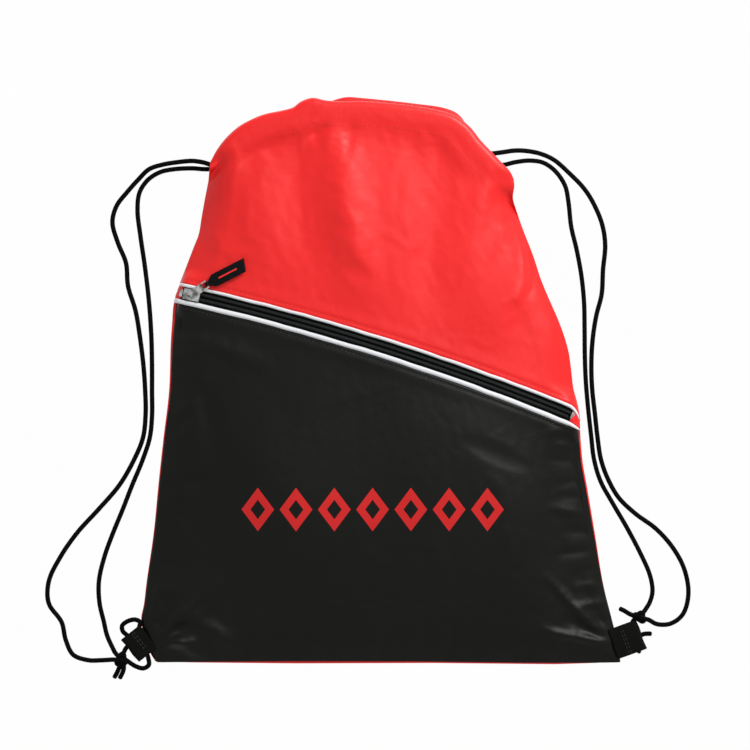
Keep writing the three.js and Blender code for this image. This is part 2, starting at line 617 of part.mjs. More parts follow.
add('left_corner_tab', cornerTab(TABS.left), BLACK);
add('right_corner_tab', cornerTab(TABS.right), BLACK);
add('left_knot', knot(KNOTS.left, TABS.left), CORD_BLACK);
add('right_knot', knot(KNOTS.right, TABS.right), CORD_BLACK);
add('left_cord_outer_strand', cord(LEFT_OUTER), CORD_BLACK);
add('left_cord_inner_strand', cord(LEFT_INNER), CORD_BLACK);
add('right_cord_outer_strand', cord(RIGHT_OUTER), CORD_BLACK);
add('right_cord_inner_strand', cord(RIGHT_INNER), CORD_BLACK);
add('left_cord_channel_run', channelRun(-LANE, 0, [-111, 165]), CORD_BLACK);
add('right_cord_channel_run', channelRun(LANE, 1, [66, 170]), CORD_BLACK);

export default bag;
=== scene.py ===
"""Drawstring backpack lying on its back: cloth, zip, cords, knots and tabs around the CAD frame. Metres, +Z up."""
import math
import random

import bpy
import numpy as np
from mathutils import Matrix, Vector
from mathutils.bvhtree import BVHTree


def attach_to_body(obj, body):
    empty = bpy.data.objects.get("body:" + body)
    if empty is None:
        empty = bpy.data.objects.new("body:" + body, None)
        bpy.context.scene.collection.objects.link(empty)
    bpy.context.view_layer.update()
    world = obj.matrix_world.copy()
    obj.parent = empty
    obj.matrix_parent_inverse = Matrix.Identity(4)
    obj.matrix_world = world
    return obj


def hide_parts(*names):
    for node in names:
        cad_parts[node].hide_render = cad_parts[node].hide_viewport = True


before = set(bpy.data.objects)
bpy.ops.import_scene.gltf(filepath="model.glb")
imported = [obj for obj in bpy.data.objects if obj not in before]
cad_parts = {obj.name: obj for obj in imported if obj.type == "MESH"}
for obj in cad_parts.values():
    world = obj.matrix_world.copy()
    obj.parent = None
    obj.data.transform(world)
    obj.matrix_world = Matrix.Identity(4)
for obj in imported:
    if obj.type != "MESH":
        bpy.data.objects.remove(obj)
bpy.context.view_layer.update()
MM = 0.001
rng = random.Random(7)


# ---- camera, floor and light ----
CAMERA_AT, CAMERA_LENS = (-0.00625, 0.0044, 2.6), 169
FLOOR_SIZE, FLOOR_GAP = 30, 0.0002
WORLD_LIGHT, TABLE_LIGHT = 0.46, 0.985


def make_camera():
    """Looks straight down, as at goods laid out on a table."""
    data = bpy.data.cameras.new("camera")
    data.lens = CAMERA_LENS
    data.sensor_width = 36
    camera = bpy.data.objects.new("camera", data)
    camera.location = CAMERA_AT
    bpy.context.scene.collection.objects.link(camera)
    bpy.context.scene.camera = camera


def area_light(name, place, size, power):
    """A square lamp that faces the middle of the bag."""
    data = bpy.data.lights.new(name, "AREA")
    data.size = size
    data.energy = power
    lamp = bpy.data.objects.new(name, data)
    lamp.location = place
    lamp.rotation_euler = (-Vector(place)).to_track_quat("-Z", "Y").to_euler()
    bpy.context.scene.collection.objects.link(lamp)


def make_stage():
    """The table, the light and the plain view."""
    bpy.ops.mesh.primitive_plane_add(size=FLOOR_SIZE, location=(0, 0, -FLOOR_GAP))
    floor = bpy.context.object
    floor.name = "floor"
    floor.data.materials.append(light_table("floor_white"))
    world = bpy.data.worlds.new("world")
    world.use_nodes = True
    background = world.node_tree.nodes["Background"]
    background.inputs["Color"].default_value = (1, 1, 1, 1)
    background.inputs["Strength"].default_value = WORLD_LIGHT
    bpy.context.scene.world = world
    area_light("key", (0.75, 1.05, 0.85), 0.6, 17)
    area_light("top", (0.3, 0.36, 1.0), 0.25, 1.0)
    bpy.context.scene.view_settings.view_transform = "Standard"
    bpy.context.scene.view_settings.look = "None"


# ---- materials ----
class Nodes:
    """A small helper that adds and links shader nodes."""

    def __init__(self, name):
        self.material = bpy.data.materials.new(name)
        self.material.use_nodes = True
        self.tree = self.material.node_tree
        self.shader = self.tree.nodes["Principled BSDF"]
        self.place = self.add("ShaderNodeTexCoord").outputs["Object"]

    def add(self, kind, **settings):
        node = self.tree.nodes.new(kind)
        for key, value in settings.items():
            setattr(node, key, value)
        return node

    def link(self, source, target):
        self.tree.links.new(source, target)

    def set(self, socket, value):
        self.shader.inputs[socket].default_value = value

    def math(self, operation, first, second=0.0, third=None):
        node = self.add("ShaderNodeMath", operation=operation)
        for socket, value in zip(node.inputs, (first, second, third)):
            if value is None:
                continue
            if isinstance(value, (int, float)):
                socket.default_value = value
            else:
                self.link(value, socket)
        return node.outputs[0]

    def mapped(self, texture, stretch=(1, 1, 1), turn=0.0):
        mapping = self.add("ShaderNodeMapping")
        mapping.inputs["Scale"].default_value = stretch
        mapping.inputs["Rotation"].default_value = (0, 0, turn)
        self.link(self.place, mapping.inputs["Vector"])
        self.link(mapping.outputs[0], texture.inputs["Vector"])

    def noise(self, scale, detail=3.0, stretch=(1, 1, 1), turn=0.0):
        texture = self.add("ShaderNodeTexNoise")
        texture.inputs["Scale"].default_value = scale
        texture.inputs["Detail"].default_value = detail
        self.mapped(texture, stretch, turn)
        return texture.outputs[0]

    def wave(self, axis, period, turn=0.0):
        """Parallel ridges, from 0 to 1, with this period in metres."""
        texture = self.add("ShaderNodeTexWave", wave_type="BANDS", bands_direction=axis)
        texture.inputs["Scale"].default_value = 2 * math.pi / (20 * period)
        texture.inputs["Distortion"].default_value = 0
        self.mapped(texture, turn=turn)
        return texture.outputs["Fac"]

    def ramp(self, value, colours):
        node = self.add("ShaderNodeValToRGB")
        node.color_ramp.elements[0].position = colours[0][0]
        node.color_ramp.elements[0].color = (*colours[0][1], 1)
        node.color_ramp.elements[1].position = colours[-1][0]
        node.color_ramp.elements[1].color = (*colours[-1][1], 1)
        for at, colour in colours[1:-1]:
            node.color_ramp.elements.new(at).color = (*colour, 1)
        self.link(value, node.inputs[0])
        return node.outputs[0]

    def colour(self, source):
        self.link(source, self.shader.inputs["Base Color"])

    def roughness(self, low, high, value):
        node = self.add("ShaderNodeMapRange")
        node.inputs["To Min"].default_value = low
        node.inputs["To Max"].default_value = high
        self.link(value, node.inputs["Value"])
        self.link(node.outputs[0], self.shader.inputs["Roughness"])

    def bumps(self, layers):
        """layers: (height, distance in metres, strength), the coarsest first."""
        normal = None
        for height, distance, strength in layers:
            node = self.add("ShaderNodeBump")
            node.inputs["Distance"].default_value = distance
            node.inputs["Strength"].default_value = strength
            self.link(height, node.inputs["Height"])
            if normal is not None:
                self.link(normal, node.inputs["Normal"])
            normal = node.outputs[0]
        self.link(normal, self.shader.inputs["Normal"])


def light_table(name):
    """A white surface lit from below, so that what lies on it throws no shadow."""
    nodes = Nodes(name)
    nodes.colour(nodes.ramp(nodes.noise(3), [(0.3, (0, 0, 0)), (0.7, (0.01, 0.01, 0.01))]))
    nodes.set("Specular IOR Level", 0)
    nodes.set("Emission Color", (1, 1, 1, 1))
    nodes.set("Emission Strength", TABLE_LIGHT)
    return nodes.material


THREAD_PERIOD = 0.00042


def shaded(colour, factor):
    return tuple(min(1.0, c * factor) for c in colour)


def satin_nodes(name, colour, deep, rough=(0.33, 0.45), sheen=0.02, gloss=0.42):
    """Smooth, tightly woven polyester with a soft shine."""
    nodes = Nodes(name)
    broad = nodes.noise(9, 2)
    nodes.colour(nodes.ramp(broad, [(0.3, deep), (0.52, colour), (0.8, shaded(colour, 1.06))]))
    nodes.roughness(*rough, nodes.noise(60, 4))
    warp, weft = nodes.wave("X", THREAD_PERIOD), nodes.wave("Y", THREAD_PERIOD)
    nodes.bumps([
        (nodes.noise(38, 3, (1, 0.6, 1), 0.5), 0.0014, 0.5),
        (nodes.noise(230, 3), 0.00028, 0.4),
        (nodes.math("MULTIPLY", warp, weft), 0.00006, 0.35),
    ])
    nodes.set("Sheen Weight", sheen)
    nodes.set("Sheen Roughness", 0.35)
    nodes.set("Specular IOR Level", gloss)
    return nodes


def satin(*look):
    return satin_nodes(*look).material


def webbing(name, colour, period, turn, rough=0.7):
    """Woven tape: ribs across it and a broken herringbone, with painted shade in the gaps between threads and painted
    highlight on their crowns.
    """
    nodes = Nodes(name)
    ribs = nodes.wave("X", period, turn)
    cross = nodes.wave("Y", period * 0.7, turn)
    weave = nodes.math("MULTIPLY", ribs, cross)
    # painted shade and highlight: the colour is darker where the weave is low and lighter where it is high
    nodes.colour(nodes.ramp(weave, [(0.0, shaded(colour, 0.55)), (1.0, shaded(colour, 1.7))]))
    nodes.roughness(rough - 0.08, rough + 0.08, nodes.noise(400))
    nodes.bumps([(nodes.noise(90, 3), 0.0002, 0.3), (weave, 0.00016, 0.8)])
    nodes.set("Specular IOR Level", 0.1)
    return nodes.material


def braid(name, colour):
    """Braided cord: two sets of slanted strands that follow the tube's own coordinates, with painted shade in the
    grooves between strands and painted highlight on them.
    """
    nodes = Nodes(name)
    uv = nodes.add("ShaderNodeAttribute", attribute_name="braid")
    split = nodes.add("ShaderNodeSeparateXYZ")
    nodes.link(uv.outputs["Vector"], split.inputs[0])
    around, along = split.outputs[0], split.outputs[1]
    strands = []
    for sign in (1.0, -1.0):
        slant = nodes.math("MULTIPLY_ADD", along, sign, around)
        ridge = nodes.math("SINE", nodes.math("MULTIPLY", slant, 4 * math.pi))
        strands.append(nodes.math("ABSOLUTE", ridge))
    weave = nodes.math("MAXIMUM", strands[0], strands[1])
    # painted shade and highlight: darker in the grooves between strands, lighter on their crowns
    nodes.colour(nodes.ramp(weave, [(0.55, shaded(colour, 0.4)), (0.95, shaded(colour, 1.6))]))
    nodes.roughness(0.62, 0.8, nodes.noise(500))
    nodes.bumps([(weave, 0.00025, 0.7)])
    nodes.set("Specular IOR Level", 0.06)
    return nodes.material


def nickel(name):
    """Plated metal whose colour holds painted reflections: bright and dark noise patches that stand in for the studio
    it mirrors.
    """
    nodes = Nodes(name)
    # painted reflections: the metal's colour runs from dark to bright in patches
    painted_reflection_tones = [(0.36, (0.20, 0.21, 0.20)), (0.5, (0.60, 0.62, 0.60)), (0.62, (0.95, 0.95, 0.93))]
    nodes.colour(nodes.ramp(nodes.noise(240, 1), painted_reflection_tones))
    nodes.roughness(0.16, 0.28, nodes.noise(120, 3))
    nodes.set("Metallic", 1.0)
    nodes.bumps([(nodes.noise(900), 0.00004, 0.2)])
    return nodes.material


def moulded(name, colour):
    """Nylon, for the coils and for thread."""
    nodes = Nodes(name)
    nodes.colour(nodes.ramp(nodes.noise(800), [(0.3, shaded(colour, 0.8)), (0.7, shaded(colour, 1.25))]))
    nodes.roughness(0.3, 0.45, nodes.noise(300))
    nodes.bumps([(nodes.noise(1200), 0.00003, 0.2)])
    return nodes.material


def printed_satin(name, colour, deep, ink, marks):
    """The pocket's cloth with a printed row of plain rhombs."""
    nodes = satin_nodes(name, colour, deep, (0.34, 0.48), 0.0, 0.26)
    split = nodes.add("ShaderNodeSeparateXYZ")
    nodes.link(nodes.place, split.inputs[0])
    mask = None
    for middle_and_half in marks:
        parts = [nodes.math("DIVIDE", nodes.math("SUBTRACT", split.outputs[k], middle), half)
                 for k, (middle, half) in enumerate(middle_and_half)]
        reach = nodes.math("ADD", *(nodes.math("ABSOLUTE", part) for part in parts))
        ring = nodes.math("MULTIPLY", nodes.math("LESS_THAN", reach, 1.0),
                          nodes.math("GREATER_THAN", reach, RHOMB_HOLE))
        mask = ring if mask is None else nodes.math("MAXIMUM", mask, ring)
    mix = nodes.add("ShaderNodeMix", data_type="RGBA")
    base = nodes.shader.inputs["Base Color"].links[0].from_socket
    nodes.link(mask, mix.inputs["Factor"])
    nodes.link(base, mix.inputs[6])
    mix.inputs[7].default_value = (*ink, 1)
    nodes.colour(mix.outputs[2])
    return nodes.material


RED = (0.95, 0.016, 0.015)
RED_DEEP = (0.90, 0.011, 0.010)
BLACK = (0.0034, 0.0037, 0.0022)
RHOMB_HOLE = 0.45
print_marks = [((x * MM, 12 * MM), (-94 * MM, 16 * MM)) for x in range(-92, 77, 28)]
red_satin = satin("red_satin", RED, RED_DEEP)
red_dull = satin("red_seam", RED, RED_DEEP, (0.5, 0.6))
black_satin = printed_satin("black_satin", BLACK, shaded(BLACK, 0.8), (0.72, 0.02, 0.02), print_marks)
lining_black = satin("lining_black", BLACK, shaded(BLACK, 0.8), (0.5, 0.6), 0.0, 0.2)
piping_white = satin("piping_white", (0.86, 0.87, 0.9), (0.8, 0.81, 0.84), (0.4, 0.5), 0.2)
zip_black = webbing("zip_tape_weave", (0.003, 0.0055, 0.0045), 0.0009, 0.3)
tab_black = webbing("tab_webbing", (0.0045, 0.005, 0.0035), 0.0013, 0.35)
ribbon_black = webbing("ribbon_weave", (0.003, 0.0055, 0.005), 0.0008, 0.5, 0.5)
cord_black = braid("cord_braid", (0.0016, 0.0016, 0.0017))
metal = nickel("nickel_painted_reflections")
# The coil is black nylon, painted several times lighter than the tape as a painted highlight along its loops.
coil_black_painted_highlight = moulded("coil_nylon_painted_highlight", (0.022, 0.028, 0.026))
thread_red = moulded("thread_red", (0.92, 0.018, 0.016))
thread_black = moulded("thread_black", (0.02, 0.02, 0.02))


# ---- meshes ----
def shade_smooth(mesh):
    for polygon in mesh.polygons:
        polygon.use_smooth = True


def mesh_object(name, points, faces, material):
    mesh = bpy.data.meshes.new(name)
    mesh.from_pydata([tuple(p) for p in points], [], faces)
    mesh.validate()
    mesh.materials.append(material)
    obj = bpy.data.objects.new(name, mesh)
    bpy.context.scene.collection.objects.link(obj)
    shade_smooth(mesh)
    return obj


def grid_faces(rows, columns, wrap_columns=False):
    faces = []
    for j in range(rows - 1):
        for i in range(columns if wrap_columns else columns - 1):
            k = (i + 1) % columns
            faces.append((j * columns + i, j * columns + k, (j + 1) * columns + k, (j + 1) * columns + i))
    return faces


def capped_faces(rings, sides):
    """The faces of a tube of rings, closed at both ends."""
    last = (rings - 1) * sides
    return grid_faces(rings, sides, True) + [tuple(range(sides - 1, -1, -1)), tuple(last + i for i in range(sides))]


def smooth_once(obj):
    smooth = obj.modifiers.new("smooth", "SUBSURF")
    smooth.levels = smooth.render_levels = 1


def thicken(obj, thickness, offset=0.0):
    """Gives a sheet its thickness in millimetres, half on each side unless an offset says otherwise."""
    thick = obj.modifiers.new("thickness", "SOLIDIFY")
    thick.thickness = thickness * MM
    thick.offset = offset


def apply_modifiers(obj):
    graph = bpy.context.evaluated_depsgraph_get()
    graph.update()
    mesh = bpy.data.meshes.new_from_object(obj.evaluated_get(graph), depsgraph=graph)
    obj.modifiers.clear()
    obj.data = mesh


def attach(obj, nodes=(), body="root"):
    """Says which body a piece rides on and the CAD nodes it replaces."""
    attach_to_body(obj, body)
    if nodes:
        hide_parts(*nodes)
    return obj


def unit(v):
    return v / np.maximum(np.linalg.norm(v, axis=-1, keepdims=True), 1e-12)


def smooth_route(points, per_span=10):
    """A centripetal Catmull-Rom curve through the points, which is the CAD tube's route."""
    p = np.array(points, float)
    p = np.vstack([2 * p[0] - p[1], p, 2 * p[-1] - p[-2]])
    out = []
    for i in range(1, len(p) - 2):
        p0, p1, p2, p3 = p[i - 1:i + 3]
        t0, t1, t2 = (max(np.linalg.norm(b - a) ** 0.5, 1e-6) for a, b in ((p0, p1), (p1, p2), (p2, p3)))
        m1 = ((p1 - p0) / t0 - (p2 - p0) / (t0 + t1) + (p2 - p1) / t1) * t1
        m2 = ((p2 - p1) / t1 - (p3 - p1) / (t1 + t2) + (p3 - p2) / t2) * t1
        for k in range(per_span):
            t = k / per_span
            out.append((2 * t ** 3 - 3 * t ** 2 + 1) * p1 + (t ** 3 - 2 * t ** 2 + t) * m1
                       + (-2 * t ** 3 + 3 * t ** 2) * p2 + (t ** 3 - t ** 2) * m2)
    out.append(p[-2])
    return np.array(out)


def travelled(line):
    """The distance along a polyline at each of its points."""
    return np.r_[0, np.cumsum(np.linalg.norm(np.diff(line, axis=0), axis=1))]


def by_length(line, u):
    """Points of a polyline at fractions u of its length."""
    steps = travelled(line)
    return np.stack([np.interp(np.asarray(u) * steps[-1], steps, line[:, k]) for k in range(line.shape[1])], -1)


def tube(name, line, radius, material, sides=12, radii=None, closed=False):
    """A tube along a line, with flat ends and coordinates for its braid."""
    line = np.array(line, float)
    count = len(line)
    tangent = unit(np.gradient(line, axis=0)) if not closed else unit(np.roll(line, -1, 0) - np.roll(line, 1, 0))
    side = np.cross(tangent[0], (0, 0, 1.0))
    if np.linalg.norm(side) < 0.1:
        side = np.cross(tangent[0], (0, 1.0, 0))
    side = unit(side)
    points, coords = [], []
    reached = travelled(line)
    for k in range(count):
        side = unit(side - tangent[k] * np.dot(side, tangent[k]))
        other = np.cross(tangent[k], side)
        r = radius if radii is None else radii[k]
        for i in range(sides):
            a = 2 * math.pi * i / sides
            points.append(line[k] + r * (math.cos(a) * side + math.sin(a) * other))
            coords.append((i / sides, reached[k] / (4 * radius), 0))
    if closed:
        last = (count - 1) * sides
        faces = grid_faces(count, sides, True)
        faces += [(last + i, last + (i + 1) % sides, (i + 1) % sides, i) for i in range(sides)]
    else:
        faces = capped_faces(count, sides)
    obj = mesh_object(name, points, faces, material)
    layer = obj.data.attributes.new("braid", "FLOAT_VECTOR", "POINT")
    layer.data.foreach_set("vector", np.array(coords, np.float32).ravel())
    return obj


def joined(name, objects):
    with bpy.context.temp_override(active_object=objects[0], object=objects[0], selected_objects=objects,
                                   selected_editable_objects=objects):
        bpy.ops.object.join()
    objects[0].name = name
    return objects[0]


# ---- the zip's arc, as in the CAD ----
ZIP_LEFT = np.array([-148, 64.7, 12.0])
ZIP_RIGHT = np.array([140, -26.1, 12.0])
ZIP_BOW, ZIP_RISE = 6.3, 11.0
SEAM_BEND, BEND_SPREAD, BEND_FROM = 0.028, 0.0035, 145.0
chord = unit(ZIP_RIGHT - ZIP_LEFT)
rise = math.hypot(ZIP_BOW, ZIP_RISE)
lean_side, lean_up = ZIP_BOW / rise, ZIP_RISE / rise
bulge = np.array([-chord[1] * lean_side, chord[0] * lean_side, lean_up])
zip_axis = np.cross(bulge, chord)
half_chord = np.linalg.norm(ZIP_RIGHT - ZIP_LEFT) / 2
zip_radius = half_chord ** 2 / (2 * rise) + rise / 2
zip_centre = (ZIP_LEFT + ZIP_RIGHT) / 2 + bulge * (rise - zip_radius)


def zip_point(s, across, up):
    """Millimetres along the arc from its middle, across it and up out of the cloth.
    Past the slider's stop the right end bends down into the side seam."""
    s = np.asarray(s, float)
    bend = np.maximum(SEAM_BEND + BEND_SPREAD * across, 0)
    across = across - bend * np.maximum(s - BEND_FROM, 0) ** 2
    angle = s[..., None] / zip_radius
    outward = chord * np.sin(angle) + bulge * np.cos(angle)
    n = outward * lean_side + zip_axis * lean_up
    m = outward * lean_up - zip_axis * lean_side
    across, up = np.asarray(across, float)[..., None], np.asarray(up, float)[..., None]
    return zip_centre + outward * zip_radius + n * across + m * up


# ---- drawcords: the same routes as the CAD tubes, in millimetres ----
ON_TABLE = 1.9


def lying(points):
    """Route points; those given in plan only lie on the table."""
    return [p if len(p) == 3 else (*p, ON_TABLE) for p in points]


LEFT_OUTER = lying([
    (-111, 164.2, 16.3), (-115.5, 160.6, 15), (-120.5, 158.6, 12.6), (-126, 158.9, 10), (-133, 161, 7),
    (-141, 162.2, 4.2), (-152, 161.4, 2.3), (-163, 159.6), (-173, 156.2), (-181, 148.5), (-189, 139.5), (-197, 129),
    (-200, 117), (-196, 102), (-190, 87), (-188.5, 70), (-183, 52), (-179.5, 31), (-177, 10), (-175.8, -8),
    (-175.5, -24), (-177.5, -42), (-184.5, -59), (-195, -77), (-210.5, -95), (-226, -112), (-238.5, -130),
    (-247, -148), (-247, -164), (-237.5, -178), (-234.5, -191), (-229, -202), (-218, -206, 2), (-208, -206, 3),
    (-199.7, -205.4, 4.6)
])
LEFT_INNER = lying([
    (-111, 164.2, 4.5), (-115.5, 160, 4.4), (-120.5, 157.2, 3.6), (-126, 156.4, 2.8), (-133, 156.3, 2.1),
    (-141, 156.9), (-155, 156.2), (-165, 154), (-174, 148.2), (-180, 139), (-181.5, 126), (-179.5, 108), (-176, 84),
    (-173, 58), (-171.3, 33), (-170.8, 11), (-170.8, -7), (-170.8, -26), (-172.5, -42), (-178, -59), (-185.5, -77),
    (-192.5, -95), (-199.5, -112), (-206, -130), (-210, -148), (-209.5, -164), (-206.5, -177, 2), (-203.8, -188, 2.6),
    (-198.2, -199.8, 4.6)
])
RIGHT_OUTER = lying([
    (66.8, 168.6, 16.4), (72.5, 167, 15), (80, 167.2, 11.8), (88, 168.4, 8.6), (97, 169.8, 5.2), (106, 169.6, 2.8),
    (116, 167.6), (126, 163), (137, 153.4), (148, 142), (155.5, 130), (161.5, 115), (163.6, 100), (162, 82),
    (161, 64), (157, 48), (154.3, 30), (153.4, 12), (154, -6), (156, -24), (158, -42), (160.5, -58), (165.5, -72),
    (173.5, -86), (186, -98), (201, -109), (213.5, -123), (222, -139), (225, -157), (221, -172), (212, -179, 2),
    (202, -179.4, 2.8), (195.8, -176.2, 4.6)
])
RIGHT_INNER = lying([
    (66.8, 168.6, 4.5), (71.5, 164.2, 4.3), (78, 160.6, 3.4), (88, 159.4, 2.5), (97, 161.4), (108, 162.6), (118, 161),
    (127, 154.6), (134, 144), (136.5, 132), (138.5, 114), (142.5, 97), (146, 78), (148, 58), (148.4, 38), (148.6, 18),
    (149.3, 0), (151, -20), (153.2, -40), (155.4, -58), (160.2, -74), (169, -90), (179.5, -108), (189.5, -127),
    (196.5, -143), (198.5, -155, 2), (196.5, -163, 3), (193.2, -168.4, 4.4)
])
FRONT_MOUTH = [
    (-108, 170.5), (-96, 182), (-76, 190), (-46, 196), (-12, 197.5), (22, 194.5), (46, 186), (62, 170)
]
BACK_MOUTH = [
    (-108, 170.5), (-96, 182), (-76, 190.5), (-46, 197.5), (-12, 200.5), (22, 199), (46, 189), (62, 170)
]
CORD = 3.5
LANE = 2.4
Z_FRONT, Z_BACK = 16.5, 4.5
TURN_OUT = 6
RUN_STEPS = 18


def mouth_lane(mouth, u, offset, z):
    """A cord's line inside a hem channel, and its direction, at fractions u of the mouth's length."""
    line = smooth_route([(x, y, 0) for x, y in mouth], 20)
    at = by_length(line, u)
    ahead = by_length(line, np.clip(u + 0.004, 0, 1))
    behind = by_length(line, np.clip(u - 0.004, 0, 1))
    along = unit(ahead - behind)
    moved = np.stack([at[:, 0] - along[:, 1] * offset, at[:, 1] + along[:, 0] * offset, np.full(len(u), z)], 1)
    return moved, along


def channel_run(lane, exit_at):
    """A cord's way through the front channel, round the far end of the mouth and back through the other."""
    u = np.linspace(exit_at, 1 - exit_at, RUN_STEPS + 1)
    front, along = mouth_lane(FRONT_MOUTH, u, lane, Z_FRONT)
    back, _ = mouth_lane(BACK_MOUTH, u[::-1], lane, Z_BACK)
    sign = 1 if exit_at == 0 else -1
    turn = []
    for degrees in (-60, -30, 0, 30, 60):
        reach = TURN_OUT * math.cos(math.radians(degrees))
        z = (Z_FRONT + Z_BACK) / 2 - (Z_FRONT - Z_BACK) / 2 * math.sin(math.radians(degrees))
        turn.append((front[-1][0] + sign * along[-1][0] * reach, front[-1][1] + sign * along[-1][1] * reach, z))
    return [tuple(p) for p in front] + turn + [tuple(p) for p in back]


def drawcord(side, outer, inner, lane, exit_at):
    """One cord: from its knot up the outer strand, through both hem channels and down the inner strand."""
    line = smooth_route(outer[::-1] + channel_run(lane, exit_at) + inner, 8) * MM
    nodes = [f"{side}_cord_{part}" for part in ("outer_strand", "inner_strand", "channel_run")]
    made = attach(tube(side + "_drawcord", line, CORD / 2 * MM, cord_black), nodes)


# ---- cloth ----
# The bag's outline in plan, millimetres: the side edges from the bottom up, and the mouth from left to right.
OUT_LEFT = [
    (-167, -207.3), (-171.5, -200), (-175.6, -188), (-178, -175), (-176, -165), (-174, -148), (-169, -112),
    (-165.7, -77), (-162, -42), (-158, -7), (-157, 29), (-156, 46), (-155.5, 55), (-153, 64), (-149.5, 73),
    (-146, 82), (-139.5, 99), (-136, 108), (-134, 120), (-131.5, 134), (-128.5, 150), (-127.3, 160)
]
OUT_RIGHT = [
    (174.6, -207.3), (173, -196), (169, -178), (162, -148), (156, -112), (150, -77), (147, -60), (145.4, -42),
    (144.5, -26), (142.4, -15), (139.9, -6), (138.2, 8), (136.2, 22), (131.3, 38), (124, 55), (116.5, 73), (111, 90),
    (104, 108), (97.5, 126), (95, 134), (96, 143), (95.5, 148)
]
OUT_TOP = [
    (-127.3, 160), (-122, 170), (-115, 179), (-106, 187), (-96, 192.5), (-87, 196), (-75, 198.5), (-66, 201),
    (-61, 205), (-52, 208), (-44, 206.3), (-33, 205.3), (-15, 205.6), (10, 203.6), (34, 200.2), (50, 196), (57, 192),
    (64, 186), (71, 177), (80, 167.5), (86.5, 160.5), (93, 153.5), (95.5, 148)
]
BACK_TOP = [
    (-127, 159), (-121.5, 169), (-114.5, 178), (-105.5, 186), (-95, 191.5), (-86, 195), (-74, 197.5), (-64, 200),
    (-52, 203.5), (-40, 205.8), (-33, 208.2), (-26, 209.4), (-18, 208.8), (-1, 207.2), (22, 204.6), (45, 201.2),
    (55, 196.8), (63, 186), (70, 176), (79, 166.5), (85.5, 159.5), (92, 152.5), (94.5, 147)
]
# How much of the back shows beside the pocket: pairs of height and width.
SHOWS_LEFT = ((-150, 0), (-100, 0.4), (-50, 0.9), (10, 1.3), (35, 2.0), (52, 2.8), (64, 2.8), (75, 0))
SHOWS_RIGHT = ((-190, 0), (-150, 0.7), (-110, 1.1), (-60, 1.5), (-34, 1.3), (-15, 0))
HEM = 18
HEM_TURN = 3.0
SIDE_TURN = 6.5
SIDE_SLOPE = 22.0
POCKET_CREASING = 1.6
EDGE_Z = 5.6
BACK_EDGE_Z, BACK_LOW_Z, BACK_TOP_Z = EDGE_Z - 0.9, 0.75, 4.4
BOTTOM_Y, BACK_BOTTOM_Y, LINING_BOTTOM_Y = -207.3, -209.0, -198.0
UNDER_PIPING = 0.3
LINING_ACROSS, LINING_UP = 10.5, -3.3
MOUTH_ROUND = 5
SIM_FRAMES = 20
SOFTEN = 4
HELD_INSIDE = 0.25
CLOTH_THICK = 0.35
HEM_ROWS = {"red_front_cloth": 8, "black_pocket_cloth": 0, "red_back_cloth": 8, "pocket_lining_cloth": 0}
FRONT_TOP_Z = 19.6
MOUTH_EDGE_Z = 15.8
STITCH_FROM_PIPING = 3.6
RED_FROM, BLACK_TO = 6.5, -7.2


def ease(t):
    t = np.clip(t, 0, 1)
    return t * t * (3 - 2 * t)


def outline(points, samples=400):
    line = smooth_route([(x, y, 0) for x, y in points], 12)
    return by_length(line, np.linspace(0, 1, samples))


def part_of(line, low_y, high_y, spacing):
    """The stretch of a side edge between two heights."""
    y = low_y + (high_y - low_y) * spacing
    order = np.argsort(line[:, 1])
    return np.stack([np.interp(y, line[order, 1], line[order, 0]), y, np.zeros(len(y))], 1)


def coons(bottom, top, left, right, u, v):
    """Points between four edges whose corners meet."""
    u, v = u[None, :, None], v[:, None, None]
    ruled = (1 - v) * bottom[None] + v * top[None] + (1 - u) * left[:, None] + u * right[:, None]
    return ruled - ((1 - u) * (1 - v) * bottom[0] + u * (1 - v) * bottom[-1]
                    + (1 - u) * v * top[0] + u * v * top[-1])


def meet(edge, start, end, spacing):
    """Moves an edge so that its ends are at start and end."""
    t = spacing[:, None]
    return edge + (1 - t) * (start - edge[0]) + t * (end - edge[-1])


def sides_between(bottom, top, left_edge, right_edge, v):
    """A sheet's two side edges, whose ends are the corners of its bottom and top."""
    return [meet(part_of(edge, bottom[k, 1], top[k, 1], v), bottom[k], top[k], v)
            for edge, k in ((left_edge, 0), (right_edge, -1))]


def straight_height(bottom, top, u, v):
    """The height of a sheet drawn straight between its bottom and its top."""
    sides = [np.linspace(bottom[k], top[k], len(v)) for k in (0, -1)]
    return coons(bottom, top, *sides, u, v)[..., 2]


def packed(count, tight):
    """Numbers from 0 to 1, closer together near both ends."""
    t = np.linspace(0, 1, count)
    return (1 - tight) * t + tight * (0.5 - 0.5 * np.cos(np.pi * t))


def from_line(grid, line):
    """Distance in plan of each grid point from a polyline."""
    flat = grid[..., :2].reshape(-1, 2)
    best = np.full(len(flat), 1e9)
    for a, b in zip(line[:-1, :2], line[1:, :2]):
        ab = b - a
        t = np.clip(((flat - a) @ ab) / max(ab @ ab, 1e-9), 0, 1)
        best = np.minimum(best, np.linalg.norm(flat - a - t[:, None] * ab, axis=1))
    return best.reshape(grid.shape[:2])


def fold(grid, points, width, height):
    """Raises a soft ridge, or sinks a groove, along a route. It fades at both ends."""
    dense = by_length(smooth_route([(x, y, 0) for x, y in points], 6), np.linspace(0, 1, 24))
    flat = grid[..., :2].reshape(-1, 2)
    away = np.linalg.norm(flat[:, None] - dense[None, :, :2], axis=2)
    nearest = away.argmin(1)
    fade = np.sin(np.pi * (0.08 + 0.84 * nearest / 23)) ** 0.7
    grid[..., 2] += (height * fade * np.exp(-(away.min(1) / width) ** 2)).reshape(grid.shape[:2])


def edge_round(distance, width):
    """From 0 at an edge to 1 at this distance from it, like a quarter of an ellipse."""
    t = 1 - np.clip(distance / width, 0, 1)
    return np.sqrt(1 - t * t)


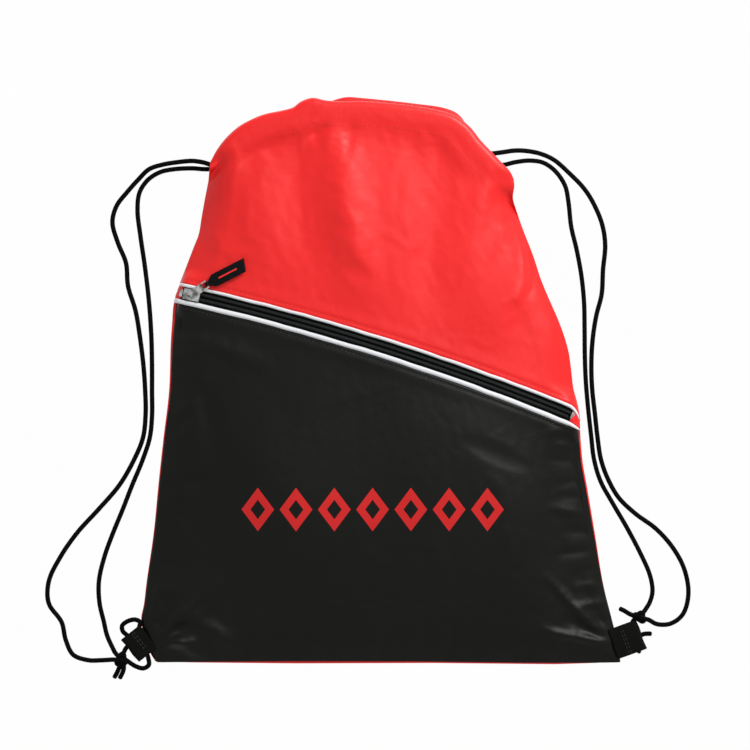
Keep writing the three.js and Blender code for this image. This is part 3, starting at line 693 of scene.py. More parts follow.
def edge_slope(distance, width):
    """From 0 at an edge to 1 at this distance from it, like a parabola."""
    t = 1 - np.clip(distance / width, 0, 1)
    return 1 - t * t


def side_rise(from_side, across):
    """How the cloth rises from a side seam: steeply where the zip is, and gently elsewhere."""
    t = ease((np.abs(across) - 7.5) / 13)
    return (1 - t) * edge_round(from_side, SIDE_TURN) + t * edge_slope(from_side, SIDE_SLOPE)


def zip_coordinates(points):
    """Across and up from the zip's arc, in millimetres."""
    from_centre = points - zip_centre
    axial = from_centre @ zip_axis
    outward = np.hypot(from_centre @ chord, from_centre @ bulge) - zip_radius
    return outward * lean_side + axial * lean_up, outward * lean_up - axial * lean_side


def top_stitch_shape(distance):
    """The height of the folded cloth that comes out from under a piping, with a dip along its row of stitches."""
    lift = 1.5 * ease(distance / 1.7)
    return lift - 0.55 * np.exp(-((distance - STITCH_FROM_PIPING) / 1.3) ** 2) - 0.6 * ease((distance - 3) / 12)


left_line, right_line = outline(OUT_LEFT), outline(OUT_RIGHT)
top_line, back_top_line = outline(OUT_TOP), outline(BACK_TOP)


def rolled_hem(grid, up):
    """Adds rows that turn the top edge over and carry it back inside the bag, as the drawcord's channel."""
    top, below = grid[-1], grid[-2]
    inward = unit((below - top) * (1, 1, 0))
    at = np.linspace(0, 1, len(top))
    radius = (HEM_TURN * (0.3 + 0.7 * ease(np.minimum(at, 1 - at) / 0.12)))[:, None]
    down = np.array([0, 0, -up])
    rows = [top + inward * radius * (1 - math.cos(a)) + down * radius * math.sin(a)
            for a in np.radians((25, 50, 70, 90))]
    carried = (0.12 + 0.88 * ease(np.minimum(at, 1 - at) / 0.09))[:, None]
    rows += [rows[-1] + inward * back * carried for back in (4, 8, 12, 16)]
    return np.concatenate([grid, np.array(rows)], 0)


def zip_end(line, across):
    """How far along the zip a side edge of the bag crosses it."""
    s = np.linspace(130, 170, 400) * (1 if line[0, 0] > 0 else -1)
    points = zip_point(s, across, 0.0)
    order = np.argsort(line[:, 1])
    gap = np.abs(points[:, 0] - np.interp(points[:, 1], line[order, 1], line[order, 0]))
    return s[gap.argmin()]


def red_front(nu=120, nv=84):
    """The red front above the zip, with its folds and its turned hem."""
    u, v = np.linspace(0, 1, nu), packed(nv, 0.55)
    s = np.linspace(zip_end(left_line, RED_FROM), zip_end(right_line, RED_FROM), nu)
    bottom = zip_point(s, RED_FROM, UNDER_PIPING)
    top = by_length(top_line, u)
    top[:, 2] = MOUTH_EDGE_Z
    left, right = sides_between(bottom, top, left_line, right_line, v)
    grid = coons(bottom, top, left, right, u, v)
    from_side = np.minimum(from_line(grid, left), from_line(grid, right))
    from_top = from_line(grid, top)
    across, _ = zip_coordinates(grid)
    base = straight_height(bottom, top, u, v)
    base += 3.0 * np.sin(np.pi * u)[None] * (16 * (v * (1 - v)) ** 2)[:, None]
    folds = grid * (1, 1, 0)
    for route, width, height in RED_FOLDS:
        fold(folds, route, width, height)
    base += folds[..., 2] * ease((across - RED_FROM) / 60) * (0.35 + 0.65 * edge_round(from_top, 12))
    near_top = ease(1.3 - from_top / 26)
    base = np.maximum(base, FRONT_TOP_Z * near_top + base * (1 - near_top))
    base += top_stitch_shape(across - RED_FROM)
    side_low = EDGE_Z + (MOUTH_EDGE_Z - EDGE_Z) * ease((v - 0.82) / 0.16)[:, None]
    grid[..., 2] = side_low + (base - side_low) * side_rise(from_side, across)
    turned = MOUTH_EDGE_Z + np.maximum(grid[..., 2] - MOUTH_EDGE_Z, 0) * edge_round(from_top, MOUTH_ROUND)
    grid[..., 2] = np.where(from_top < MOUTH_ROUND, turned, grid[..., 2])
    return rolled_hem(grid, 1)


RED_FOLDS = [
    ([(-34, 184), (-28, 140), (-20, 90), (-12, 40)], 15, 4.6),
    ([(-66, 176), (-60, 130), (-54, 85)], 17, -3.0),
    ([(-104, 160), (-96, 120), (-98, 84)], 18, 1.4),
    ([(32, 176), (38, 130), (34, 80), (36, 30)], 16, -2.6),
    ([(66, 160), (72, 120), (70, 70), (76, 20)], 15, 1.4),
    ([(100, 60), (106, 30), (112, 6)], 12, -2.0),
    ([(94, 142), (98, 118), (104, 92), (104, 73), (97, 60)], 3.2, 2.6),
    ([(101, 132), (106, 105), (110, 84), (107, 66)], 4.5, -3.2),
    ([(118, 64), (126, 40), (131, 15)], 6, 1.5),
    ([(-126, 98), (-136, 84), (-142, 78)], 6, -3.0),
    ([(-132, 112), (-120, 100), (-108, 96)], 7, 1.6),
    ([(-118, 160), (-100, 166), (-76, 176), (-52, 180)], 6, -2.2),
    ([(-112, 172), (-92, 181), (-66, 186)], 5, 1.8),
    ([(-46, 199), (-53, 188), (-60, 176)], 4.0, 2.2),
    ([(-34, 200), (-38, 188), (-42, 172)], 4.5, 1.4),
    ([(-57, 180), (-46, 184), (-35, 188)], 4.0, -2.2),
    ([(-106, 184), (-84, 192), (-62, 196), (-44, 200)], 3.5, -1.6),
    ([(-30, 202), (-24, 186), (-26, 170)], 5, -1.4),
    ([(44, 194), (58, 180), (71, 165), (86, 150)], 6, -3.6),
    ([(58, 190), (70, 173), (84, 157), (92, 146)], 3.2, 2.0),
    ([(40, 188), (52, 172), (64, 156)], 6, 1.6),
    ([(84, 152), (74, 138), (70, 120)], 8, 1.4),
    ([(20, 196), (30, 178), (34, 160)], 7, 1.0),
]


def straight_bottom(left_x, right_x, y, z, count):
    return np.linspace((left_x, y, z), (right_x, y, z), count)


def inset_side(line, sign, steps):
    """A side edge moved into the bag by what steps say: pairs of height and distance."""
    heights, distances = zip(*steps)
    moved = line.copy()
    moved[:, 0] += sign * np.interp(line[:, 1], heights, distances)
    return moved


def black_front(nu=124, nv=96):
    """The black pocket below the zip."""
    u, v = np.linspace(0, 1, nu), packed(nv, 0.55)
    left_edge = inset_side(left_line, 1, SHOWS_LEFT)
    right_edge = inset_side(right_line, -1, SHOWS_RIGHT)
    s = np.linspace(zip_end(left_edge, BLACK_TO), zip_end(right_edge, BLACK_TO), nu)
    top = zip_point(s, BLACK_TO, UNDER_PIPING)
    bottom = straight_bottom(left_line[0, 0], right_line[0, 0], BOTTOM_Y, 9.6, nu)
    bottom[:, 1] += np.interp(u, (0, 0.1, 0.3, 0.55, 0.8, 0.93, 1), (0, 0.3, 0.9, 0.7, -0.3, -0.4, 0))
    left, right = sides_between(bottom, top, left_edge, right_edge, v)
    grid = coons(bottom, top, left, right, u, v)
    across, _ = zip_coordinates(grid)
    from_side = np.minimum(from_line(grid, left), from_line(grid, right))
    from_bottom = grid[..., 1] - bottom[None, :, 1]
    base = straight_height(bottom, top, u, v)
    base += 9 * np.sin(np.pi * u)[None] * np.sin(np.pi * v)[:, None]
    folds = grid * (1, 1, 0)
    for route, width, height in black_folds():
        fold(folds, route, width, height * POCKET_CREASING)
    base += folds[..., 2] * ease((BLACK_TO - across) / 16)
    base += top_stitch_shape(BLACK_TO - across)
    inner = np.minimum(side_rise(from_side, across), edge_slope(from_bottom, SIDE_SLOPE))
    grid[..., 2] = EDGE_Z + (base - EDGE_Z) * inner
    return grid


def black_folds():
    """Broad soft folds, creases that fan out from the corner tabs, and puckers along the seams."""
    folds = [
        ([(-120, -20), (-80, -80), (-60, -140)], 30, 2.0),
        ([(-20, -10), (0, -90), (-10, -170)], 34, -1.8),
        ([(70, -40), (95, -100), (100, -170)], 24, 1.8),
        ([(125, -60), (130, -120), (140, -170)], 14, -1.6),
        ([(-160, -186), (-145, -196), (-130, -203)], 5, 2.0),
        ([(-150, -168), (-128, -182), (-108, -196)], 6, 1.5),
        ([(-146, 10), (-130, -20), (-124, -50)], 8, -1.2),
        ([(-150, 30), (-118, 24), (-90, 14)], 7, 1.0),
    ]
    for corner, angles in (((-172, -196), (8, 26, 44, 62, 80)), ((170, -192), (100, 118, 136, 154, 170))):
        for k, degrees in enumerate(angles):
            a, reach = math.radians(degrees), 38 + 16 * (k % 3)
            mid = (corner[0] + 0.5 * reach * math.cos(a + 0.06), corner[1] + 0.5 * reach * math.sin(a + 0.06))
            end = (corner[0] + reach * math.cos(a), corner[1] + reach * math.sin(a))
            folds.append(([corner, mid, end], 3.0 + 0.8 * (k % 2), 1.7 if k % 2 == 0 else -1.6))
    for side, sign in ((left_line, 1), (right_line, -1)):
        for y in np.arange(-176, 34 if sign > 0 else -30, 13.0):
            x = float(np.interp(y, side[:, 1], side[:, 0]))
            reach = rng.uniform(14, 34) * sign
            tilt = rng.uniform(-6, 6)
            folds.append(([(x, y), (x + reach * 0.5, y + tilt * 0.4), (x + reach, y + tilt)],
                          rng.uniform(2.2, 3.8), rng.choice((-1, 1)) * rng.uniform(0.5, 1.1)))
    for x in np.arange(-140, 150, 19.0):
        folds.append(([(x, -206), (x + rng.uniform(-3, 3), -206 + rng.uniform(14, 30))],
                      rng.uniform(2.2, 3.6), rng.choice((-1, 1)) * rng.uniform(0.5, 1.0)))
    return folds


def turned_in(grid):
    """Adds the edges that turn in under the front's, so that the strip of the back beside it faces up."""
    left, right = grid[:, :1].copy(), grid[:, -1:].copy()
    left[:, 0, 0] += np.interp(left[:, 0, 1], *zip(*SHOWS_LEFT)) + 0.9
    right[:, 0, 0] -= np.interp(right[:, 0, 1], *zip(*SHOWS_RIGHT)) + 0.9
    left[..., 2] += 0.5
    right[..., 2] += 0.5
    grid = np.concatenate([left, grid, right], 1)
    bottom = grid[:1].copy() + (0, 2.6, 0)
    bottom[..., 2] = EDGE_Z - 0.4
    return np.concatenate([bottom, grid], 0)


def back_sheet(nu=100, nv=110):
    """The back, which lies on the table and rises at its edges to meet the front."""
    u, v = np.linspace(0, 1, nu), packed(nv, 0.5)
    bottom = straight_bottom(-168, 174.5, BACK_BOTTOM_Y, BACK_EDGE_Z, nu)
    bottom[:, 1] += np.interp(u, (0, 0.08, 0.3, 0.6, 0.86, 0.95, 1), (1.6, 0.9, 0.2, 0.5, -0.4, 0.6, 1.8))
    top = by_length(back_top_line, u)
    top[:, 2] = BACK_TOP_Z
    left, right = sides_between(bottom, top, left_line, right_line, v)
    left[:, 0] -= 0.4 * np.sin(np.pi * v)
    right[:, 0] += 1.1 * np.sin(np.pi * v)
    left[:, 2] = right[:, 2] = BACK_EDGE_Z
    right[0], left[0] = bottom[-1], bottom[0]
    left[-1], right[-1] = top[0], top[-1]
    grid = coons(bottom, top, left, right, u, v)
    edge = np.minimum(np.minimum(from_line(grid, left), from_line(grid, right)), from_line(grid, bottom))
    from_top = from_line(grid, top)
    grid[..., 2] = BACK_EDGE_Z + (BACK_LOW_Z - BACK_EDGE_Z) * edge_round(edge, 16)
    rounded = BACK_TOP_Z + (BACK_LOW_Z - BACK_TOP_Z) * edge_round(from_top, MOUTH_ROUND)
    grid[..., 2] = np.where(from_top < MOUTH_ROUND, rounded, grid[..., 2])
    return rolled_hem(turned_in(grid), -1)


def lining_sheet(nu=60, nv=50):
    """The pocket's lining, from the upper tape down to the bottom seam."""
    u, v = np.linspace(0, 1, nu), np.linspace(0, 1, nv)
    top = zip_point(np.linspace(-150, 147, nu), LINING_ACROSS, LINING_UP)
    bottom = straight_bottom(-158, 165, LINING_BOTTOM_Y, 7.0, nu)
    left, right = sides_between(bottom, top, left_line, right_line, v)
    grid = coons(bottom, top, left, right, u, v)
    grid[..., 2] += 1.5 * np.sin(np.pi * u)[None] * np.sin(np.pi * v)[:, None]
    away = np.minimum(from_line(grid, left_line), from_line(grid, right_line))
    low = EDGE_Z - 1.2
    grid[..., 2] = low + (grid[..., 2] - low) * edge_round(away, SIDE_TURN + 1)
    return grid


def relax_cloth(obj, rows, columns, start, hold, growth, most):
    """Lets a sheet that is cut a little too large crumple within its seams. No point moves further than most."""
    group = obj.vertex_groups.new(name="held")
    for weight in np.unique(np.round(hold, 2)):
        group.add([int(i) for i in np.nonzero(np.round(hold, 2) == weight)[0]], float(weight), "REPLACE")
    cloth = obj.modifiers.new("cloth", "CLOTH")
    settings = {"quality": 6, "mass": 0.08, "tension_stiffness": 25, "compression_stiffness": 25,
                "shear_stiffness": 8, "bending_stiffness": 1.5, "vertex_group_mass": "held",
                "pin_stiffness": 1.0, "shrink_min": -growth}
    for key, value in settings.items():
        setattr(cloth.settings, key, value)
    cloth.settings.effector_weights.gravity = 0
    cloth.collision_settings.use_collision = False
    scene = bpy.context.scene
    for number in range(1, SIM_FRAMES + 1):
        scene.frame_set(number)
    graph = bpy.context.evaluated_depsgraph_get()
    made = obj.evaluated_get(graph).data
    moved = np.empty(len(made.vertices) * 3)
    made.vertices.foreach_get("co", moved)
    obj.modifiers.remove(cloth)
    obj.vertex_groups.remove(group)
    scene.frame_set(1)
    shift = (moved.reshape(-1, 3) - start).reshape(rows, columns, 3)
    for _ in range(SOFTEN):
        shift[1:-1, 1:-1] = 0.5 * shift[1:-1, 1:-1] + 0.125 * (
            shift[:-2, 1:-1] + shift[2:, 1:-1] + shift[1:-1, :-2] + shift[1:-1, 2:])
    shift = shift.reshape(-1, 3)
    size = np.linalg.norm(shift, axis=1, keepdims=True)
    shift *= np.minimum(1, most / np.maximum(size, 1e-9))
    obj.data.vertices.foreach_set("co", (start + shift).ravel())
    obj.data.update()


def cloth_piece(name, grid, material, nodes, growth=0.0, most=0.0, keep_below=None):
    """One sheet of cloth. Near the zip it stays below this height over the arc."""
    rows, columns = grid.shape[:2]
    points = grid.reshape(-1, 3) * MM
    obj = mesh_object(name, points, grid_faces(rows, columns), material)
    if growth:
        i, j = np.meshgrid(np.arange(columns), np.arange(rows))
        border = np.minimum(np.minimum(i, columns - 1 - i), j)
        border = np.minimum(border, np.maximum(rows - HEM_ROWS[name] - 1 - j, 0)).ravel()
        hold = np.where(border < 3, 1.0, HELD_INSIDE + (1 - HELD_INSIDE) * np.exp(-(border - 2) / 4.0))
        relax_cloth(obj, rows, columns, points, hold, growth, most)
    if keep_below is not None:
        flat = np.array([v.co for v in obj.data.vertices]) / MM
        across, up = zip_coordinates(flat)
        limit = keep_below + 12 * ease((np.abs(across) - 44) / 40)
        flat[:, 2] -= np.where(np.abs(across) < 84, np.maximum(up - limit, 0), 0)
        obj.data.vertices.foreach_set("co", (flat * MM).ravel())
    smooth_once(obj)
    thicken(obj, CLOTH_THICK)
    apply_modifiers(obj)
    shade_smooth(obj.data)
    return attach(obj, nodes)


# ---- zip ----
TAPE_START, TAPE_END = -158.0, 154.5
COIL_START, COIL_END = -150.8, 148.8
TOOTH_PITCH = 1.4
TAPE_ROWS, TAPE_COLUMNS, COIL_POINTS = 320, 14, 14
PIPING_RINGS, PIPING_SIDES, PIPING_UP, PIPING_HALF_HIGH = 260, 14, 1.55, 1.25


def settle(points, stand_off=0.0):
    """Ends what runs along the zip at the bag's side edges, and bends it down over them as the cloth does."""
    points = np.array(points, float)
    lowest = np.interp(points[:, 1], left_line[:, 1], left_line[:, 0]) + 0.5
    highest = np.interp(points[:, 1], right_line[:, 1], right_line[:, 0]) - 0.5
    points[:, 0] = np.clip(points[:, 0], lowest, highest)
    away = np.minimum(from_line(points[None], left_line), from_line(points[None], right_line))[0]
    low = EDGE_Z + stand_off
    points[:, 2] = low + (points[:, 2] - low) * edge_round(away, SIDE_TURN)
    return points


def piping(name, across, half_wide, nodes, seed):
    """A filled white piping: a soft tube of oval section that wavers a little between its seams."""
    noise = random.Random(seed)
    at, knots = np.linspace(0, 1, PIPING_RINGS), np.linspace(0, 1, 34)
    sway = np.interp(at, knots, [noise.uniform(-0.22, 0.22) for _ in knots])[:, None]
    swell = np.interp(at, knots, [noise.uniform(0.93, 1.04) for _ in knots])[:, None]
    s = np.linspace(zip_end(left_line, across) - 0.5, zip_end(right_line, across) + 0.5, PIPING_RINGS)
    a = 2 * np.pi * np.arange(PIPING_SIDES) / PIPING_SIDES
    points = zip_point(s[:, None], across + sway + half_wide * swell * np.cos(a),
                       PIPING_UP + PIPING_HALF_HIGH * swell * np.sin(a))
    points = settle(points.reshape(-1, 3), 0.8) * MM
    attach(mesh_object(name, points, capped_faces(PIPING_RINGS, PIPING_SIDES), piping_white), nodes)


def tape(name, side, nodes):
    """A woven tape with a slightly ribbed face, which narrows beyond its coil."""
    s = np.linspace(TAPE_START, TAPE_END, TAPE_ROWS)[:, None]
    beyond = np.maximum(np.maximum(COIL_START - s, s - COIL_END), 0)
    w = 0.9 + (8.6 - 5.6 * ease(beyond / 2.5)) * np.linspace(0, 1, TAPE_COLUMNS)
    points = zip_point(s, side * w, -0.3 + 0.06 * np.cos(w * 6) + 0.05 * np.sin(s * 0.9 + w))
    obj = mesh_object(name, settle(points.reshape(-1, 3)) * MM, grid_faces(TAPE_ROWS, TAPE_COLUMNS), zip_black)
    thicken(obj, 0.5)
    apply_modifiers(obj)
    attach(obj, nodes)


def coil(name, side, nodes):
    """A nylon coil sewn along a tape's edge: one flattened loop for each tooth."""
    turns = int((COIL_END - COIL_START) / TOOTH_PITCH)
    t = np.arange(turns * COIL_POINTS) / COIL_POINTS
    a = 2 * math.pi * t
    start = COIL_START + 0.4 + (TOOTH_PITCH / 2 if side > 0 else 0)
    s = start + t * (COIL_END - COIL_START - 1.6) / turns
    reach = np.sign(np.cos(a)) * np.abs(np.cos(a)) ** 0.6
    line = zip_point(s, side * (1.75 - 0.82 * reach), 1.0 + 0.42 * np.sin(a))
    attach(tube(name, line * MM, 0.3 * MM, coil_black_painted_highlight, 6), nodes)


def end_cover(name, s_from, s_to, nodes, seed):
    """A patch of red cloth folded over the end of the zip."""
    phase = random.Random(seed).uniform(0, 6)
    rows, columns = 16, 22
    p, q = np.linspace(0, 1, columns), np.linspace(0, 1, rows)[:, None]
    edge = np.minimum(edge_round(np.minimum(p, 1 - p), 0.22), edge_round(np.minimum(q, 1 - q), 0.22))
    lift = 0.1 + 1.9 * edge + 0.25 * edge * np.sin(9 * q + phase) * np.cos(5 * p)
    points = zip_point(s_from + (s_to - s_from) * p, -4.7 + 9.5 * q, lift)
    obj = mesh_object(name, settle(points.reshape(-1, 3), 1.0) * MM, grid_faces(rows, columns), red_satin)
    thicken(obj, 0.4, -1)
    smooth_once(obj)
    apply_modifiers(obj)
    attach(obj, nodes)


METAL = {"zip_slider": 0.8, "zip_pull": 0.35, "left_zip_stop": 0.3, "right_zip_stop": 0.3}


def polish(node, softness):
    """Keeps a CAD metal part and softens its edges."""
    obj = bpy.data.objects[node]
    bevel = obj.modifiers.new("bevel", "BEVEL")
    bevel.width = softness
    bevel.segments = 4
    bevel.limit_method = "ANGLE"
    obj.data.materials.clear()
    obj.data.materials.append(metal)


# ---- ribbon ----
FAR_BAR = np.array([-129.57, 70.943, 18.611])
PULL_AXIS = unit(FAR_BAR - np.array([-141.142, 63.165, 17.345]))
PULL_SIDE = np.array([-0.547017, 0.830689, -0.103578])
PULL_UP = np.cross(PULL_AXIS, PULL_SIDE)
RIBBON_WIDTH, RIBBON_LENGTH = 9.5, 33.0
RIBBON_TURN = math.radians(-7)
RIBBON_HALF_GAP = 0.34
ROUND_BAR, BAR_LOOP = 1.2, 1.32
RIBBON_NECK = 3.2
MARK_AT, MARK_SIZE, MARK_LIFT = 10.0, (15.0, 1.2), 0.30


def on_pull(x, y, z):
    """A point of the ribbon, which lies turned a little to one side of the pull."""
    reach = x * math.cos(RIBBON_TURN) - y * math.sin(RIBBON_TURN)
    sideways = x * math.sin(RIBBON_TURN) + y * math.cos(RIBBON_TURN)
    return FAR_BAR + PULL_AXIS * reach + PULL_SIDE * sideways + PULL_UP * z


def ribbon_half(x):
    """Half the gap between the ribbon's two layers: round the bar, then nearly closed."""
    if x < ROUND_BAR:
        return math.sqrt(BAR_LOOP ** 2 - x ** 2)
    return RIBBON_HALF_GAP + (0.55 - RIBBON_HALF_GAP) * math.exp(-(x - ROUND_BAR) / 1.2)


def ribbon_sag(x):
    return 0.35 * math.sin(max(x, 0) / 9)


def ribbon():
    """A ribbon folded round the pull's far bar and cut off at a slant."""
    across = np.linspace(-1, 1, 15)
    outs = [0.0, 0.5, 0.9, 1.2, 1.7, 2.3, 3.0, 4.0, 5.0] + list(np.linspace(6.5, RIBBON_LENGTH, 22))
    angles = np.linspace(math.pi / 2, 3 * math.pi / 2, 11)[1:-1]
    ring = [(BAR_LOOP * math.cos(a), BAR_LOOP * math.sin(a)) for a in angles]
    points = []
    profile = [(x, ribbon_half(x)) for x in outs[::-1]] + ring + [(x, -ribbon_half(x)) for x in outs]
    for x, z in profile:
        half = (RIBBON_NECK + (RIBBON_WIDTH - RIBBON_NECK) * float(ease((x - 1.0) / 5.5))) / 2
        for w in across:
            slant = (x / RIBBON_LENGTH) ** 3 * 3.0 * (1 - (w + 1) / 2) if x > 0 else 0
            gather = 0.25 * math.cos(w * 5) * math.exp(-x / 4) if x > ROUND_BAR else 0
            up = z + gather * (1 if z > 0 else 0.6) + ribbon_sag(x)
            points.append(on_pull(x - slant, w * half, up) * MM)
    obj = mesh_object("pull_ribbon_cloth", points, grid_faces(len(profile), len(across)), ribbon_black)
    thicken(obj, 0.5)
    apply_modifiers(obj)
    length, width = MARK_SIZE
    corners = [on_pull(x, width * (j / 4 - 0.5), ribbon_half(MARK_AT) + MARK_LIFT + ribbon_sag(x)) * MM
               for j in range(5) for x in np.linspace(MARK_AT, MARK_AT + length, 5)]
    mark = mesh_object("ribbon_mark", corners, grid_faces(5, 5), thread_red)
    attach(joined("pull_ribbon_cloth", [obj, mark]), ("pull_ribbon",), "ribbon")


# ---- corner tabs and knots ----
TABS = {
    "left": {"at": (-186.5, -198.6), "turn": 218.5, "width": 21.0, "reach": 17.0},
    "right": {"at": (189.7, -186.6), "turn": 20.2, "width": 22.5, "reach": 22.0},
}
TAB_Z = 6.1
TAB_HALF = 2.35


def tab_frame(tab):
    """The directions out of the bag and along its tab's fold."""
    a = math.radians(tab["turn"])
    return np.array([math.cos(a), math.sin(a), 0]), np.array([-math.sin(a), math.cos(a), 0])


def corner_tab(side):
    """A strap folded into a loop, whose two ends are sewn into the corner of the bag."""
    tab = TABS[side]
    outward, along = tab_frame(tab)
    angles = np.linspace(math.pi / 2, -math.pi / 2, 13)
    turn = [(-TAB_HALF + TAB_HALF * math.cos(a), TAB_HALF * math.sin(a)) for a in angles]
    straight = np.linspace(-tab["reach"], -TAB_HALF - 0.7, 9)
    profile = [(x, TAB_HALF) for x in straight] + turn + [(x, -TAB_HALF) for x in straight[::-1]]
    widths = np.linspace(-0.5, 0.5, 25)
    points = []
    for x, z in profile:
        most, start = (0.25, tab["reach"] * 0.45) if z > 0 else (0.15, 9)
        pinch = 1 - most * float(ease((-x - start) / 8))
        for w in widths:
            crown = 0.35 * math.cos(w * math.pi) * (1 if z > 0 else -0.2)
            points.append((np.array([*tab["at"], TAB_Z]) + outward * (x + 0.25 * math.sin(w * 9))
                           + along * w * tab["width"] + np.array([0, 0, 1]) * (z * pinch + crown)) * MM)
    obj = mesh_object(side + "_tab_webbing", points, grid_faces(len(profile), len(widths)), tab_black)
    smooth_once(obj)
    thicken(obj, 0.9)
    apply_modifiers(obj)
    return attach(obj, (side + "_corner_tab",))


KNOTS = {
    "left": {
        "at": (-193, -205.4, 5.8), "turn": 60, "half": (4.6, 3.7, 3.2),
        "loop": [(-192.5, -203, 6.2), (-190.5, -198, 3.8), (-187.6, -193.5, 1.9), (-188.4, -188.6, 2.0),
                 (-192.2, -184.6, 3.4), (-192.6, -180.4, 4.6), (-188.4, -177, 5.2), (-182.8, -175.9, 5.4),
                 (-179.4, -177.8, 5.8), (-180, -182, 6.1), (-179.4, -187.5, 6.1), (-176.8, -193.5, 6.1),
                 (-174.8, -199.5, 6), (-173.2, -204.8, 5.4), (-173, -209.3, 4.6), (-176.8, -211.8, 4.4),
                 (-182.6, -210.3, 4.8), (-188, -206.8, 5.6), (-191, -204.6, 6.2)],
        "tails": [[(-194, -209, 4.6), (-195.4, -212.6, 3.2), (-197, -216, 2.4), (-199, -219.4, 2.2)],
                  [(-191.4, -209.6, 6.2), (-191.6, -212.8, 5.2), (-192.8, -216, 3.8), (-194.8, -219.8, 2.8)]],
        "strands": [(-199.7, -205.4, 4.6), (-198.2, -199.8, 4.6)],
    },
    "right": {
        "at": (188.8, -173.8, 6), "turn": 150, "half": (4.4, 3.4, 3.0),
        "loop": [(187, -174.6, 6.8), (184.2, -176.4, 6.4), (183.2, -180, 6.1), (184.6, -187, 6.1), (186.8, -194, 6.0),
                 (188, -198, 5.2), (188.4, -199.4, 3.4), (187.8, -197.4, 2.0), (187.4, -193.4, 1.8),
                 (188.4, -189.4, 1.8), (191.4, -187, 1.8), (194.6, -186.5, 1.8), (198.2, -186.6, 1.8)],
        "tails": [[(185.6, -173.2, 7.2), (181.2, -171.6, 6.6), (177.2, -169.2, 5.4), (173.6, -167.6, 4.2)]],
        "strands": [(195.8, -176.2, 4.6), (193.2, -168.4, 4.4)],
    },
}


def rounded_end(line, radius):
    """Radii that round off the last millimetre of a cut and melted cord end."""
    left = travelled(line)[-1] - travelled(line)
    return radius * np.sqrt(1 - np.clip(1 - left / (0.55 * radius), 0, 0.97) ** 2)


def knot(side):
    """The loop through the tab, the knot that both strands end in, and its cut tails."""
    shape = KNOTS[side]
    radius = CORD / 2 * MM
    middle = np.array(shape["at"])
    loop = smooth_route(shape["loop"], 8) * MM
    pieces = [tube(side + "_loop", loop, radius, cord_black, 12, rounded_end(loop, radius))]
    t = np.linspace(0, 2 * math.pi, 90, endpoint=False)
    a = math.radians(shape["turn"])
    hx, hy, hz = shape["half"]
    x = (np.sin(t) + 2 * np.sin(2 * t)) / 3 * hx
    y = (np.cos(t) - 2 * np.cos(2 * t)) / 3 * hy
    trefoil = np.stack([x * math.cos(a) - y * math.sin(a), x * math.sin(a) + y * math.cos(a),
                        -np.sin(3 * t) * hz * 0.62], 1)
    pieces.append(tube(side + "_knot_core", (middle + trefoil) * MM, radius * 0.98, cord_black, 12, closed=True))
    for k, tail in enumerate(shape["tails"]):
        line = smooth_route([tuple(middle + (np.array(tail[0]) - middle) * 0.3)] + tail, 8) * MM
        pieces.append(tube(f"{side}_tail_{k}", line, radius, cord_black, 12, rounded_end(line, radius)))
    for k, strand in enumerate(shape["strands"]):
        end = np.array(strand)
        over = middle + np.array([0, 0, 3.4 if k == 0 else 0.8])
        beyond = middle + (middle - end) * (0.42, 0.42, 0) + np.array([0, 0, 1.2 - 2.2 * k])
        line = smooth_route([tuple(end), tuple((end + over) / 2 + (0, 0, 0.6)), tuple(over), tuple(beyond)], 8) * MM
        pieces.append(tube(f"{side}_strand_{k}", line, radius, cord_black, 12))
    return attach(joined(side + "_knot_cord", pieces), (side + "_knot",))


# ---- stitches ----
STITCH, PITCH = 2.0, 3.1
THREAD_HALF, THREAD_SUNK = 0.24, 0.05
# A stitch's rings: which of its three points each is at, how far along from it, its swelling and its lift.
STITCH_RINGS = ((0, -0.12, 0.35, 0), (0, 0.1, 0.8, 0.05), (1, 0, 1.0, 0.08), (2, -0.1, 0.8, 0.05), (2, 0.12, 0.35, 0))
RING_SIDES = 6


def stitches(name, route, surfaces, thread, keep=lambda p: True):
    """A row of stitches laid on cloth along a route in plan, in millimetres."""
    trees = [BVHTree.FromPolygons([v.co for v in s.data.vertices], [p.vertices for p in s.data.polygons])
             for s in surfaces]
    line = np.array(route, float)[:, :2]
    total = travelled(line)[-1]
    points, faces = [], []
    for k in range(int(total / PITCH)):
        ends = by_length(line, [(k * PITCH + part * STITCH) / total for part in (0, 0.5, 1)])
        hits = []
        for end in ends:
            found = [tree.ray_cast(Vector((*end * MM, 0.08)), Vector((0, 0, -1))) for tree in trees]
            found = [f for f in found if f[0] is not None]
            if found:
                hits.append(min(found, key=lambda f: f[3]))
        if len(hits) < 3 or not keep(ends[1]):
            continue
        along = unit(np.array(hits[2][0] - hits[0][0]))
        up = np.array(hits[1][1])
        up = unit(up * (1 if up[2] > 0 else -1))
        side = unit(np.cross(along, up))
        first = len(points)
        for place, shift, swell, lift in STITCH_RINGS:
            middle = np.array(hits[place][0]) + along * shift * MM
            for b in 2 * np.pi * np.arange(RING_SIDES) / RING_SIDES:
                out = THREAD_HALF * swell * math.cos(b)
                rise_by = THREAD_HALF * swell * math.sin(b) - THREAD_SUNK + lift
                points.append(middle + (side * out + up * rise_by) * MM)
        faces += [tuple(first + q for q in f) for f in capped_faces(len(STITCH_RINGS), RING_SIDES)]
    return attach(mesh_object(name, points, faces, thread))


def beside_zip(across):
    return zip_point(np.linspace(-150, 143, 300), across, 0.0)


def inside_of(line, distance):
    """A route at this distance inside an edge line that runs from left to right along the top."""
    along = unit(np.gradient(line, axis=0))
    return line + np.stack([along[:, 1], -along[:, 0], np.zeros(len(line))], 1) * distance


# ---- build ----
make_camera()
make_stage()
left_knot, right_knot = knot("left"), knot("right")
drawcord("left", LEFT_OUTER, LEFT_INNER, -LANE, 0)
drawcord("right", RIGHT_OUTER, RIGHT_INNER, LANE, 1)

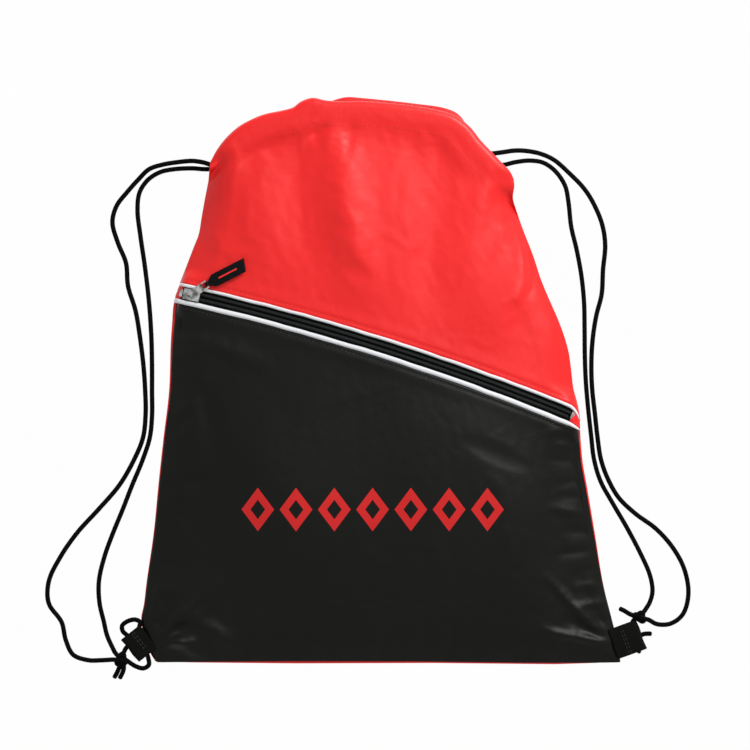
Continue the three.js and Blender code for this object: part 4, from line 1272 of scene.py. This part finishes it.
back = cloth_piece("red_back_cloth", back_sheet(), red_dull, ("back_panel", "back_hem_channel"),
                   growth=0.008, most=1.2 * MM)
front = cloth_piece("red_front_cloth", red_front(), red_satin,
                    ("front_upper_panel", "front_hem_channel", "left_side_seam", "right_side_seam"),
                    growth=0.02, most=2.4 * MM, keep_below=3.0)
pocket = cloth_piece("black_pocket_cloth", black_front(), black_satin,
                     ("pocket_panel", "bottom_seam"), growth=0.016, most=2.2 * MM, keep_below=4.5)
lining = cloth_piece("pocket_lining_cloth", lining_sheet(), lining_black, ("pocket_lining",))

piping("upper_piping_cord", 5.9, 1.2, ("upper_piping",), 3)
piping("lower_piping_cord", -6.3, 1.75, ("lower_piping",), 4)
tape("upper_tape", 1, ("upper_zip_tape",))
tape("lower_tape", -1, ("lower_zip_tape",))
coil("upper_coil", 1, ("upper_zip_coil",))
coil("lower_coil", -1, ("lower_zip_coil",))
end_cover("left_end_cover", -160, COIL_START - 0.5, ("left_zip_end_cover",), 5)
end_cover("right_end_cover", COIL_END + 0.5, 160, ("right_zip_end_cover",), 6)
for metal_part, softness in METAL.items():
    polish(metal_part, softness * MM)
ribbon()
left_tab, right_tab = corner_tab("left"), corner_tab("right")

stitches("zip_stitches_red", beside_zip(RED_FROM + STITCH_FROM_PIPING), [front], thread_red)
stitches("zip_stitches_black", beside_zip(BLACK_TO - STITCH_FROM_PIPING), [pocket], thread_black)
stitches("front_hem_stitches", inside_of(top_line[20:-20], HEM), [front], thread_red)
stitches("back_hem_stitches", inside_of(back_top_line[110:-110], 1.6), [back, front], thread_black,
         keep=lambda p: -34 < p[0] < 58)
for side, made in (("left", left_tab), ("right", right_tab)):
    tab = TABS[side]
    outward, along = tab_frame(tab)
    middle = np.array([*tab["at"], 0])
    for k, out in enumerate((-tab["reach"] * 0.52, -tab["reach"] * 0.52 - 1.8)):
        row = np.array([middle + outward * out + along * w * (tab["width"] / 2 - 1.5) for w in (-1, 1)])
        stitches(f"{side}_tab_stitches_{k}", row, [made, pocket], thread_black)
